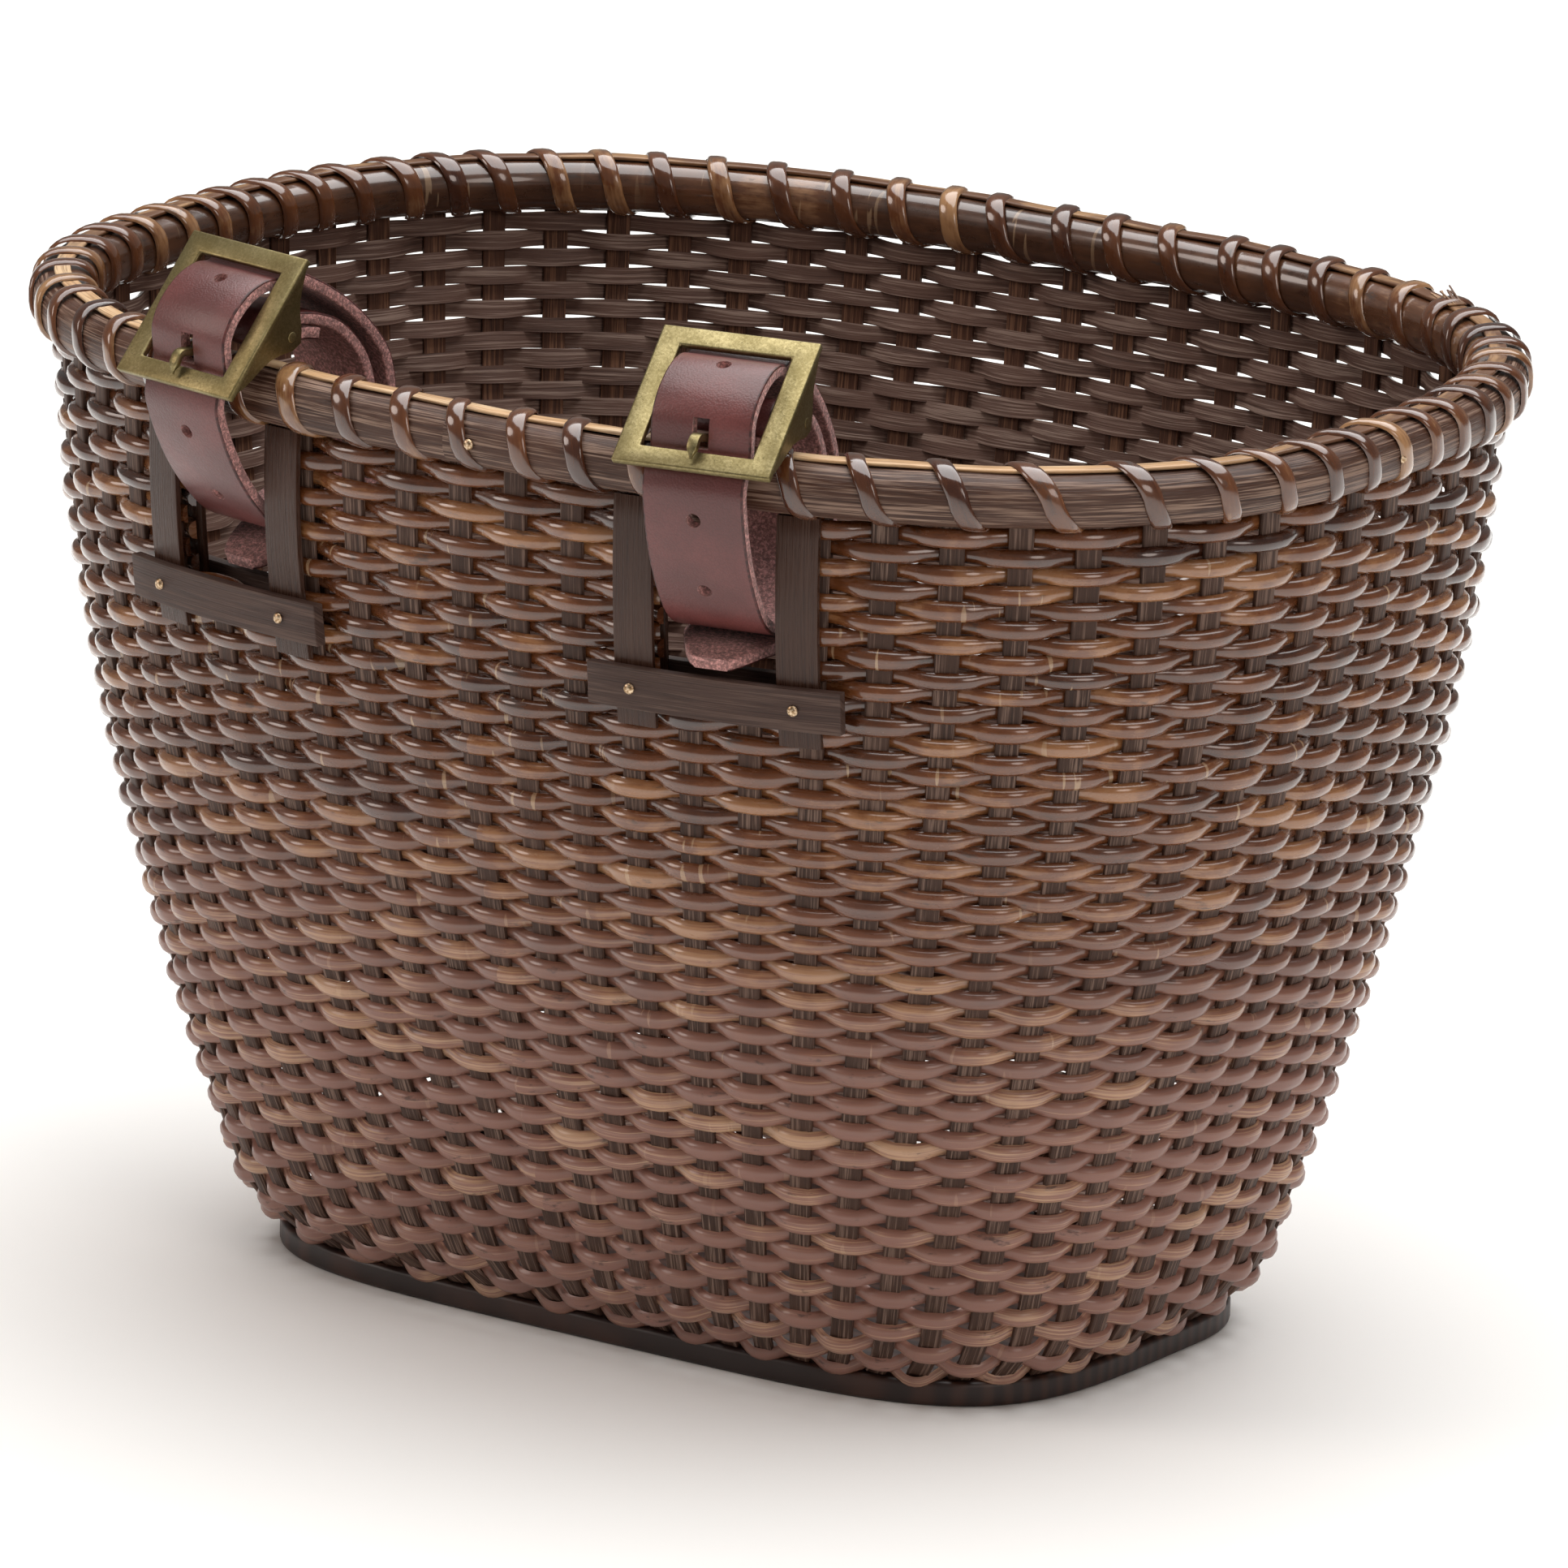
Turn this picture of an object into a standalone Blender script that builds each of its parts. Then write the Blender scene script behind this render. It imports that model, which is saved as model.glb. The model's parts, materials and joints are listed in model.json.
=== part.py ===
"""A woven cane handlebar basket: wood base board, woven wall, bound two-hoop rim and two buckled straps.

Metres, +Z up. The origin is the middle of the base board's underside. The handlebar side is -Y.
Pieces near a strap are laid out in that strap's own frame: s runs along the rim, d points outwards
and h is the height above the top of the hoops.
"""

import math

import bmesh
import bpy
import numpy as np
from mathutils import Vector

MM = 0.001
GAP = 0.3 * MM

# Plan of the rim, on the middle line between its two hoops.
RIM_HALF_WIDTH = 180 * MM
RIM_NEAR_DEPTH = 121 * MM
RIM_FAR_DEPTH = 147 * MM
RIM_NEAR_POWER = 2.45
RIM_FAR_POWER = 2.8
BASKET_HEIGHT = 250 * MM

# Plan of the base board.
BASE_HALF_WIDTH = 127 * MM
BASE_NEAR_DEPTH = 98 * MM
BASE_FAR_DEPTH = 60 * MM
BASE_NEAR_POWER = 4.5
BASE_FAR_POWER = 2.7
BASE_SHIFT = 32 * MM
BASE_THICKNESS = 6.5 * MM
BASE_CHAMFER = 1.2 * MM

# Woven wall: how it opens from the base outline to the rim.
WALL_THICKNESS = 5 * MM
WALL_TAPER_SHARE = 0.10
WALL_CURL = 1.85
FOOT_INSET = 6.5 * MM
FOOT_SHARE = 0.07
FOOT_LEVELS = (0.0, 0.35, 1.0)
WALL_LEVELS = 8
WALL_LEVEL_CROWDING = 1.35
WALL_SIDES = 64

# Rim bundle: outer hoop, stake-end core, inner hoop, cap strip and lashing.
RIM_STATION_PITCH = 13.7 * MM
HOOP_DEPTH = 6.5 * MM
HOOP_HEIGHT = 13 * MM
HOOP_ROUNDING = 3.8 * MM
CORE_THICKNESS = 1.6 * MM
CORE_DROP = 1.0 * MM
CAP_WIDTH = 4.4 * MM
CAP_THICKNESS = 1.0 * MM
LASHING_PITCH = 15.3 * MM
LASHING_WIDTH = 5.0 * MM
LASHING_THICKNESS = 0.8 * MM

# Strap windows in the near wall.
STRAP_SPACING = 145 * MM
STRAP_WIDTH = 26 * MM
WINDOW_SIDE_CLEARANCE = 3.1 * MM
STRIP_WIDTH = 10.5 * MM
STRIP_THICKNESS = 1.6 * MM
STRIP_TAIL = 5 * MM
BAR_DROP = 60.6 * MM
BAR_OVERHANG = 6.4 * MM
BAR_HEIGHT = 10.7 * MM
BAR_THICKNESS = 3.2 * MM

# Nails.
NAIL_RADIUS = 0.8 * MM
NAIL_HEAD_RADIUS = 1.4 * MM
NAIL_HEAD_HEIGHT = 0.8 * MM
RIM_NAIL_SHARES = (0.0, 0.243, 0.493, 0.743)

# Straps and buckles. The buckle's p runs up its face and q stands off it.
STRAP_THICKNESS = 3.0 * MM
STRAP_HOLE_RADIUS = 1.9 * MM
STRAP_HOLE_PITCH = 20 * MM
STRAP_TIP_LENGTH = 14 * MM
STRAP_TIP_WIDTH = 9 * MM
PRONG_SLOT_LENGTH = 7.5 * MM
INNER_SLOT = (5 * MM, 11 * MM)
BUCKLE_SIDE_CLEARANCE = 1.5 * MM
BUCKLE_HEIGHT = 40 * MM
BUCKLE_SIDE_BAR = 6.0 * MM
BUCKLE_CROSS_BAR = 5.2 * MM
BUCKLE_THICKNESS = 2.0 * MM
TROUGH_BITE = 0.1 * MM
BUCKLE_FOOT = (19.0 * MM, -2.5 * MM)
BUCKLE_LEAN = math.radians(134)
EAR_THICKNESS = 1.6 * MM
EAR_REACH = 1.7 * MM
PIN_PLACE = (22.5 * MM, -7.5 * MM)
PIN_RADIUS = 1.5 * MM
PRONG_WIDTH = 3.4 * MM
PRONG_THICKNESS = 2.2 * MM
PRONG_EYE_RADIUS = 3.2 * MM
SWING_CENTRE_DROP = 5.5 * MM
STRAP_REST_LEAN = {"left": math.radians(-5), "right": math.radians(4)}

SIDES = {"left": -1, "right": 1}

# ---------------------------------------------------------------- materials and meshes


def material(name, colour, roughness, metallic=0.0):
    found = bpy.data.materials.get(name)
    if found:
        return found
    made = bpy.data.materials.new(name)
    made.use_nodes = True
    shader = made.node_tree.nodes["Principled BSDF"]
    shader.inputs["Base Color"].default_value = (*colour, 1)
    shader.inputs["Roughness"].default_value = roughness
    shader.inputs["Metallic"].default_value = metallic
    return made


def cane_dark():
    return material("cane_dark", (0.075, 0.045, 0.032), 0.6)


def cane_gloss():
    return material("cane_gloss", (0.16, 0.075, 0.035), 0.3)


def strip_dark():
    return material("strip_dark", (0.035, 0.022, 0.016), 0.45)


def leather():
    return material("leather", (0.13, 0.05, 0.035), 0.5)


def antique_brass():
    return material("antique_brass", (0.35, 0.27, 0.12), 0.35, 1.0)


def nail_brass():
    return material("nail_brass", (0.45, 0.3, 0.15), 0.45, 1.0)


def add_object(name, mesh, surface, parent=None):
    obj = bpy.data.objects.new(name, mesh)
    obj.data.materials.append(surface)
    bpy.context.scene.collection.objects.link(obj)
    if parent:
        obj.parent = parent
        obj.matrix_parent_inverse = parent.matrix_world.inverted()
    return obj


def mesh_from(name, verts, faces, smooth_angle=40):
    """A mesh of these faces, turned to face out."""
    bm = bmesh.new()
    made = [bm.verts.new(point) for point in verts]
    for face in faces:
        bm.faces.new([made[i] for i in face])
    bmesh.ops.recalc_face_normals(bm, faces=bm.faces)
    mesh = bpy.data.meshes.new(name)
    bm.to_mesh(mesh)
    bm.free()
    mesh.shade_smooth()
    mesh.set_sharp_from_angle(angle=math.radians(smooth_angle))
    return mesh


def ring_faces(rings, sides, closed):
    """Quads between rings of points; closed joins the last ring to the first."""
    faces = []
    for i in range(rings if closed else rings - 1):
        low, high = i * sides, (i + 1) % rings * sides
        for j in range(sides):
            k = (j + 1) % sides
            faces.append((low + j, low + k, high + k, high + j))
    return faces


def capped_loft(name, rings):
    """A solid skinned over a list of rings, with a flat cap at each end."""
    sides = len(rings[0])
    faces = ring_faces(len(rings), sides, False)
    faces.append(tuple(range(sides)))
    faces.append(tuple(range((len(rings) - 1) * sides, len(rings) * sides)))
    return mesh_from(name, [p for ring in rings for p in ring], faces)


def closed_loft(name, rings):
    """A ring-shaped solid skinned over sections that come back to the first."""
    return mesh_from(name, [p for ring in rings for p in ring], ring_faces(len(rings), len(rings[0]), True))


def cutter(name, mesh):
    obj = bpy.data.objects.new(name, mesh)
    bpy.context.scene.collection.objects.link(obj)
    obj.hide_render = True
    obj.display_type = "WIRE"
    return obj


def cut(obj, tool):
    modifier = obj.modifiers.new(tool.name, "BOOLEAN")
    modifier.operation = "DIFFERENCE"
    modifier.solver = "EXACT"
    modifier.object = tool


def rod_mesh(name, start, end, radii, sides=12):
    """A turned rod from start to end; radii lists (share of the length, radius)."""
    start, end = Vector(start), Vector(end)
    axis = (end - start).normalized()
    side = axis.orthogonal().normalized()
    across = axis.cross(side)
    rings = []
    for share, radius in radii:
        centre = start.lerp(end, share)
        turns = [2 * math.pi * i / sides for i in range(sides)]
        rings.append([centre + radius * (math.cos(a) * side + math.sin(a) * across) for a in turns])
    return capped_loft(name, rings)


# ---------------------------------------------------------------- the basket's own shape


def rounded_plan(angle, half_width, near, far, near_power, far_power, shift=0.0):
    """A point of a plan outline whose near and far halves have their own depth and squareness."""
    c, s = math.cos(angle), math.sin(angle)
    depth, power = (far, far_power) if s >= 0 else (near, near_power)
    radius = (abs(c / half_width) ** power + abs(s / depth) ** power) ** (-1 / power)
    return np.array((radius * c, radius * s + shift))


def rim_plan(angle):
    return rounded_plan(angle, RIM_HALF_WIDTH, RIM_NEAR_DEPTH, RIM_FAR_DEPTH, RIM_NEAR_POWER, RIM_FAR_POWER)


def base_plan(angle, inset=0.0):
    return rounded_plan(
        angle,
        BASE_HALF_WIDTH - inset,
        BASE_NEAR_DEPTH - inset,
        BASE_FAR_DEPTH - inset,
        BASE_NEAR_POWER,
        BASE_FAR_POWER,
        BASE_SHIFT,
    )


def rim_underside():
    """Height of the lashing's lowest face."""
    return BASKET_HEIGHT - HOOP_HEIGHT - 2 * GAP - LASHING_THICKNESS


def wall_bottom():
    return BASE_THICKNESS + GAP


def wall_top():
    return rim_underside() - GAP


def wall_openness(share):
    """0 at the base outline, 1 at the rim, with most of the curve near the base."""
    return WALL_TAPER_SHARE * share + (1 - WALL_TAPER_SHARE) * (1 - (1 - share) ** WALL_CURL)


def level_shares():
    """Shares of the wall's height, closer together near the base where it curls."""
    foot = [FOOT_SHARE * level for level in FOOT_LEVELS]
    return foot + [(i / WALL_LEVELS) ** WALL_LEVEL_CROWDING for i in range(2, WALL_LEVELS + 1)]


def foot_inset(share):
    """How far the wall's foot curls in under itself, towards the board."""
    return FOOT_INSET * (1 - min(share / FOOT_SHARE, 1)) ** 2


def openness_at(height):
    """The wall's openness at a height, straight between its levels."""
    shares = level_shares()
    share = (height - wall_bottom()) / (wall_top() - wall_bottom())
    return float(np.interp(share, shares, [wall_openness(v) for v in shares]))


def wall_plan(angle, openness, inset=0.0):
    base = base_plan(angle, WALL_THICKNESS / 2 + inset)
    return base + (rim_plan(angle) - base) * openness


def plan_normal(curve, angle):
    step = 1e-4
    along = curve(angle + step) - curve(angle - step)
    along /= np.linalg.norm(along)
    return np.array((along[1], -along[0]))


class RimLine:
    """The rim's middle line, measured by arc length from the middle of the near side towards +X."""

    def __init__(self, steps=1440):
        self.angles = -math.pi / 2 + np.linspace(0, 2 * math.pi, steps + 1)
        points = np.array([rim_plan(a) for a in self.angles])
        lengths = np.linalg.norm(np.diff(points, axis=0), axis=1)
        self.arcs = np.concatenate([[0.0], np.cumsum(lengths)])
        self.length = self.arcs[-1]
        self.turns = round(self.length / LASHING_PITCH)

    def at(self, arc):
        """(point, outward normal) in plan at an arc length."""
        angle = float(np.interp(arc % self.length, self.arcs, self.angles))
        return rim_plan(angle), plan_normal(rim_plan, angle)

    def stations(self):
        count = round(self.length / RIM_STATION_PITCH)
        return [self.at(self.length * i / count) for i in range(count)]


def swept_round_rim(name, line, section):
    """A section of (outward offset, height) points carried round the rim."""
    rings = []
    for point, normal in line.stations():
        rings.append([(*(point + normal * d), z) for d, z in section])
    return closed_loft(name, rings)


# ---------------------------------------------------------------- strap frames


class StrapFrame:
    """Position and directions of one strap: s along the rim, d outwards, height in world Z."""

    def __init__(self, side):
        self.side = side
        x = SIDES[side] * STRAP_SPACING / 2
        share = abs(x / RIM_HALF_WIDTH) ** RIM_NEAR_POWER
        y = -RIM_NEAR_DEPTH * (1 - share) ** (1 / RIM_NEAR_POWER)
        angle = math.atan2(y, x)
        self.origin = np.array((x, y))
        self.out = plan_normal(rim_plan, angle)
        self.along = np.array((-self.out[1], self.out[0]))

    def point(self, s, d, z):
        return Vector((*(self.origin + self.along * s + self.out * d), z))

    def wall_middle(self, s, z):
        """How far out the middle of the wall is, at this s and height."""
        openness = openness_at(z)
        angles = np.linspace(-math.pi, 0, 361)
        offsets = np.array([wall_plan(a, openness) for a in angles]) - self.origin
        along, out = offsets @ self.along, offsets @ self.out
        order = np.argsort(along)
        return float(np.interp(s, along[order], out[order]))

    def lean(self, d, h):
        """A strap section point turned about the swing centre to the strap's rest angle."""
        angle = STRAP_REST_LEAN[self.side]
        h = h + SWING_CENTRE_DROP
        turned = (d * math.cos(angle) - h * math.sin(angle), d * math.sin(angle) + h * math.cos(angle))
        return turned[0], turned[1] - SWING_CENTRE_DROP

    def section_point(self, s, d, h):
        d, h = self.lean(d, h)
        return self.point(s, d, BASKET_HEIGHT + h)

    def swing_point(self):
        return self.point(0, 0, BASKET_HEIGHT - SWING_CENTRE_DROP)


def buckle_to_section(p, q):
    """Buckle coordinates to the strap section's (d, h)."""
    up = (math.cos(BUCKLE_LEAN), math.sin(BUCKLE_LEAN))
    off = (math.sin(BUCKLE_LEAN), -math.cos(BUCKLE_LEAN))
    return (BUCKLE_FOOT[0] + p * up[0] + q * off[0], BUCKLE_FOOT[1] + p * up[1] + q * off[1])


def add_pivot(name, place):
    obj = bpy.data.objects.new(name, None)
    obj.location = place
    bpy.context.scene.collection.objects.link(obj)
    bpy.context.view_layer.update()
    return obj


# ---------------------------------------------------------------- base, wall and rim


def make_base_board():
    rings = []
    for z, inset in (
        (0.0, BASE_CHAMFER),
        (BASE_CHAMFER, 0.0),
        (BASE_THICKNESS - BASE_CHAMFER, 0.0),
        (BASE_THICKNESS, BASE_CHAMFER),
    ):
        angles = [2 * math.pi * i / WALL_SIDES for i in range(WALL_SIDES)]
        rings.append([(*base_plan(a, FOOT_INSET + inset), z) for a in angles])
    surface = material("base_wood", (0.035, 0.018, 0.012), 0.5)
    return add_object("base_board", capped_loft("base_board", rings), surface)


def make_woven_wall():
    levels = []
    for share in level_shares():
        z = wall_bottom() + share * (wall_top() - wall_bottom())
        levels.append((z, wall_openness(share), foot_inset(share)))
    rings = []
    for i in range(WALL_SIDES):
        angle = 2 * math.pi * i / WALL_SIDES
        section = []
        for z, openness, inset in levels:
            normal = plan_normal(lambda a: wall_plan(a, openness, inset), angle)
            section.append((wall_plan(angle, openness, inset), normal, z))
        outside = [(*(point + normal * WALL_THICKNESS / 2), z) for point, normal, z in section]
        inside = [(*(point - normal * WALL_THICKNESS / 2), z) for point, normal, z in section]
        rings.append(outside + inside[::-1])
    return add_object("woven_wall", closed_loft("woven_wall", rings), cane_dark())


def hoop_section(side):
    """Half-round section of one hoop; side is 1 outside the core and -1 inside it."""
    flat = CORE_THICKNESS / 2 + GAP
    top, bottom = BASKET_HEIGHT, BASKET_HEIGHT - HOOP_HEIGHT
    points = [
        (flat, top),
        (flat + HOOP_DEPTH - HOOP_ROUNDING, top),
        (flat + HOOP_DEPTH, top - HOOP_ROUNDING),
        (flat + HOOP_DEPTH, bottom + HOOP_ROUNDING),
        (flat + HOOP_DEPTH - HOOP_ROUNDING, bottom),
        (flat, bottom),
    ]
    return [(side * d, z) for d, z in points]


def box_section(half_width, low, high):
    return [(half_width, low), (half_width, high), (-half_width, high), (-half_width, low)]


def lashing_outline():
    """The lashing's middle line round the bundle, an octagon that clears the hoops and the cap strip."""
    off = GAP + LASHING_THICKNESS / 2
    side = CORE_THICKNESS / 2 + GAP + HOOP_DEPTH + off
    slope = HOOP_ROUNDING - 0.4 * off
    top = BASKET_HEIGHT + GAP + CAP_THICKNESS + off
    bottom = BASKET_HEIGHT - HOOP_HEIGHT - off
    shoulder = side - slope
    return [
        (shoulder, top),
        (side, BASKET_HEIGHT - slope),
        (side, bottom + slope),
        (shoulder, bottom),
        (-shoulder, bottom),
        (-side, bottom + slope),
        (-side, BASKET_HEIGHT - slope),
        (-shoulder, top),
    ]


def make_lashing(line):
    """One long strip wound round the rim, a turn for each stake."""
    outline = np.array(lashing_outline())
    corners = len(outline)
    centre = outline.mean(axis=0)
    pitch = line.length / line.turns
    half = LASHING_WIDTH / 2
    rings = []
    for i in range(line.turns * corners - 2):
        point, normal = line.at(pitch * i / corners)
        along = np.array((-normal[1], normal[0]))
        corner = outline[i % corners]
        away = (corner - centre) / np.linalg.norm(corner - centre) * LASHING_THICKNESS / 2
        ring = []
        for shift, sign in ((-half, -1), (half, -1), (half, 1), (-half, 1)):
            d, z = corner + away * sign
            ring.append((*(point + normal * d + along * shift), z))
        rings.append(ring)
    return add_object("rim_lashing", capped_loft("rim_lashing", rings), cane_gloss())


def make_rim(line):
    outer = add_object("rim_outer_hoop", swept_round_rim("rim_outer_hoop", line, hoop_section(1)), cane_dark())
    add_object("rim_inner_hoop", swept_round_rim("rim_inner_hoop", line, hoop_section(-1)), cane_gloss())
    core_section = box_section(CORE_THICKNESS / 2, BASKET_HEIGHT - HOOP_HEIGHT, BASKET_HEIGHT - CORE_DROP)
    core = add_object("rim_border_core", swept_round_rim("rim_border_core", line, core_section), cane_dark())
    cap_section = box_section(CAP_WIDTH / 2, BASKET_HEIGHT + GAP, BASKET_HEIGHT + GAP + CAP_THICKNESS)
    tan = material("cane_tan", (0.42, 0.24, 0.11), 0.4)
    add_object("rim_cap_strip", swept_round_rim("rim_cap_strip", line, cap_section), tan)
    make_lashing(line)
    make_rim_nails(line, outer, core)


def make_nail(name, outside, direction, length):
    """A round-headed nail whose head stands on a face at outside, driven along direction."""
    head_top = outside - direction * NAIL_HEAD_HEIGHT
    total = length + NAIL_HEAD_HEIGHT
    neck = NAIL_HEAD_HEIGHT / total
    radii = ((0, NAIL_HEAD_RADIUS * 0.55), (neck * 0.45, NAIL_HEAD_RADIUS), (neck, NAIL_HEAD_RADIUS),
             (neck * 1.001, NAIL_RADIUS), (1, NAIL_RADIUS * 0.5))
    mesh = rod_mesh(name, head_top, outside + direction * length, radii, 10)
    return add_object(name, mesh, nail_brass())


def nail_hole(name, outside, direction, length):
    reach = Vector(direction) * 4 * MM
    radius = NAIL_RADIUS + GAP
    mesh = rod_mesh(name, outside - reach, outside + direction * length + reach, ((0, radius), (1, radius)), 10)
    return cutter(name, mesh)


def make_rim_nails(line, outer, core):
    """Small nails through the outer hoop into the core, between turns of the lashing."""
    pitch = line.length / line.turns
    face = CORE_THICKNESS / 2 + GAP + HOOP_DEPTH
    length = HOOP_DEPTH + GAP + CORE_THICKNESS / 2
    for number, share in enumerate(RIM_NAIL_SHARES, 1):
        point, normal = line.at(pitch * (math.floor(share * line.turns) + 0.5))
        height = BASKET_HEIGHT - HOOP_HEIGHT / 2
        outside = Vector((*(point + normal * (face + GAP)), height))
        inwards = Vector((*(-normal), 0))
        hole = nail_hole(f"cut_rim_nail_{number}", outside, inwards, length)
        cut(outer, hole)
        cut(core, hole)
        make_nail(f"rim_nail_{number}", outside, inwards, length)


# ---------------------------------------------------------------- strap windows


def wall_block(name, frame, s_range, z_range, off_range, s_steps=3, z_steps=4):
    """A block that lies on the wall: off_range is measured outwards from the wall's middle."""
    rings = []
    for z in np.linspace(*z_range, z_steps + 1):
        low, high = [], []
        for s in np.linspace(*s_range, s_steps + 1):
            middle = frame.wall_middle(s, z)
            low.append(frame.point(s, middle + off_range[0], z))
            high.append(frame.point(s, middle + off_range[1], z))
        rings.append(low + high[::-1])
    return capped_loft(name, rings)


def window_half_width():
    return STRAP_WIDTH / 2 + WINDOW_SIDE_CLEARANCE


def make_window(frame, wall):
    side = frame.side
    bar_middle = BASKET_HEIGHT - BAR_DROP
    bar_low, bar_high = bar_middle - BAR_HEIGHT / 2, bar_middle + BAR_HEIGHT / 2
    half = window_half_width()
    through = WALL_THICKNESS / 2 + 6 * MM
    cut_z = (bar_high, wall_top() + 4 * MM)
    opening = wall_block("opening", frame, (-half, half), cut_z, (-through, through), 3, 3)
    cut(wall, cutter(f"cut_{side}_window", opening))

    strip_off = WALL_THICKNESS / 2 + GAP
    bar_off = strip_off + STRIP_THICKNESS + GAP
    strip_z = (bar_low - STRIP_TAIL, wall_top())
    pieces = []
    for face, sign in (("outer", 1), ("inner", -1)):
        strip_range = sorted((sign * strip_off, sign * (strip_off + STRIP_THICKNESS)))
        bar_range = sorted((sign * bar_off, sign * (bar_off + BAR_THICKNESS)))
        for hand, s_sign in SIDES.items():
            s_range = sorted((s_sign * half, s_sign * (half + STRIP_WIDTH)))
            name = f"{side}_window_{face}_strip_{hand}"
            mesh = wall_block(name, frame, s_range, strip_z, strip_range, 2, 5)
            pieces.append(add_object(name, mesh, strip_dark()))
        name = f"{side}_window_{face}_bar"
        reach = half + STRIP_WIDTH + BAR_OVERHANG
        mesh = wall_block(name, frame, (-reach, reach), (bar_low, bar_high), bar_range, 6, 1)
        pieces.append(add_object(name, mesh, strip_dark()))
    make_window_nails(frame, wall, pieces, bar_middle, bar_off + BAR_THICKNESS)


def make_window_nails(frame, wall, pieces, height, face_off):
    """Two nails through bar, strip, wall, strip and bar."""
    for hand, s_sign in SIDES.items():
        s = s_sign * (window_half_width() + STRIP_WIDTH / 2)
        middle = frame.wall_middle(s, height)
        outside = frame.point(s, middle + face_off + GAP, height)
        inwards = Vector((*(-frame.out), 0))
        length = 2 * face_off - GAP
        hole = nail_hole(f"cut_{frame.side}_window_nail_{hand}", outside, inwards, length)
        for obj in (wall, *pieces):
            if obj is wall or "bar" in obj.name or obj.name.endswith(f"strip_{hand}"):
                cut(obj, hole)
        make_nail(f"{frame.side}_window_nail_{hand}", outside, inwards, length)


# ---------------------------------------------------------------- straps


def smooth_path(points, spacing=3.4 * MM):
    """Catmull-Rom curve through the points, sampled at about this spacing."""
    points = [np.array(p, float) for p in points]
    ends = [2 * points[0] - points[1], *points, 2 * points[-1] - points[-2]]
    path = []
    for a, b, c, d in zip(ends, ends[1:], ends[2:], ends[3:]):
        steps = max(1, round(float(np.linalg.norm(c - b)) / spacing))
        for i in range(steps):
            t = i / steps
            path.append(0.5 * (2 * b + (c - a) * t + (2 * a - 5 * b + 4 * c - d) * t**2
                               + (3 * b - a - 3 * c + d) * t**3))
    path.append(points[-1])
    return np.array(path)


def window_depth():
    """From the top of the hoops down to the top of the window's bars."""
    return BAR_DROP - BAR_HEIGHT / 2


def hanging(points):
    """Section points from (d in mm, share of the window's depth)."""
    return [(d * MM, -share * window_depth()) for d, share in points]


def inner_arc_points():
    """The inner layer's arc from the pin over the rim."""
    return [(d * MM, h * MM) for d, h in ((-7.5, 10.6), (-12, 9.6), (-17.5, 8.1), (-24, 4.8), (-29.8, -1.5))]


def inner_loop_points():
    """Down inside the basket and back out through the window to the buckle's lower bar."""
    return hanging(((-33, 0.15), (-34, 0.31), (-32.5, 0.47), (-28.5, 0.625), (-22, 0.74), (-14.5, 0.79),
                    (-7.5, 0.78), (-1, 0.72), (4.9, 0.60), (9.5, 0.47), (12.9, 0.335), (15, 0.217), (15.9, 0.127)))


def fold_points():
    """The strap's fixed end, folded round the buckle pin: a stub under the arc, then the fold."""
    pin = np.array(buckle_to_section(*PIN_PLACE))
    radius = PIN_RADIUS + GAP + STRAP_THICKNESS / 2
    under = STRAP_THICKNESS + 2.5 * GAP
    arc = inner_arc_points()
    stub = [(arc[2][0], arc[2][1] - under), (arc[1][0], arc[1][1] - under - GAP)]
    turns = [math.radians(a) for a in (-100, -60, -15, 30, 70, 100)]
    fold = [pin + radius * np.array((math.cos(a), math.sin(a))) for a in turns]
    return stub + fold


def through_buckle_points():
    """Under the lower bar, arched over the prong and down under the upper bar."""
    under = -(BUCKLE_THICKNESS + STRAP_THICKNESS) / 2 - 2 * GAP
    lower = [(p * MM, q * MM) for p, q in ((6.8, -2.4), (9.5, 0.2), (13, 3.4), (18, 4.7), (23, 4.4))]
    upper = [(BUCKLE_HEIGHT - p * MM, q * MM) for p, q in ((13, 3.2), (9.4, 0.9), (6.9, -2.2), (3.0, -5.2))]
    return [buckle_to_section(p, q) for p, q in [(3.2 * MM, under)] + lower + upper]


def free_end_points():
    """The free end's arc over the rim, outside the inner layer, and under the loop to its tip."""
    arc = [(d * MM, h * MM) for d, h in ((-20.7, 14.6), (-29.4, 7.4), (-36.2, -0.7))]
    layer = STRAP_THICKNESS + GAP
    spare = [extra * MM for extra in (3.4, 3.2, 2.8, 1.6, 0.5, 0.6)]
    loop = np.array(inner_loop_points())
    outwards = path_normals(loop)
    beside = [tuple(loop[i] - outwards[i] * (layer + extra)) for i, extra in enumerate(spare)]
    tip_height = -window_depth() + STRAP_THICKNESS / 2 + 2 * MM
    return arc + beside + [(-6 * MM, tip_height + 2.2 * MM), (1 * MM, tip_height)]


def strap_path():
    fixed = fold_points() + inner_arc_points() + inner_loop_points()
    return smooth_path(fixed + through_buckle_points() + free_end_points())


def path_normals(path):
    along = np.gradient(path, axis=0)
    along /= np.linalg.norm(along, axis=1)[:, None]
    return np.column_stack([-along[:, 1], along[:, 0]])


def ribbon_mesh(name, frame, path, thickness, half_widths):
    """A flat band along a path in the strap's section plane."""
    normals = path_normals(path)
    rings = []
    for point, normal, half in zip(path, normals, half_widths):
        face, back = point + normal * thickness / 2, point - normal * thickness / 2
        rings.append([frame.section_point(s, *p) for s, p in
                      ((-half, face), (half, face), (half, back), (-half, back))])
    return capped_loft(name, rings)


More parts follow.
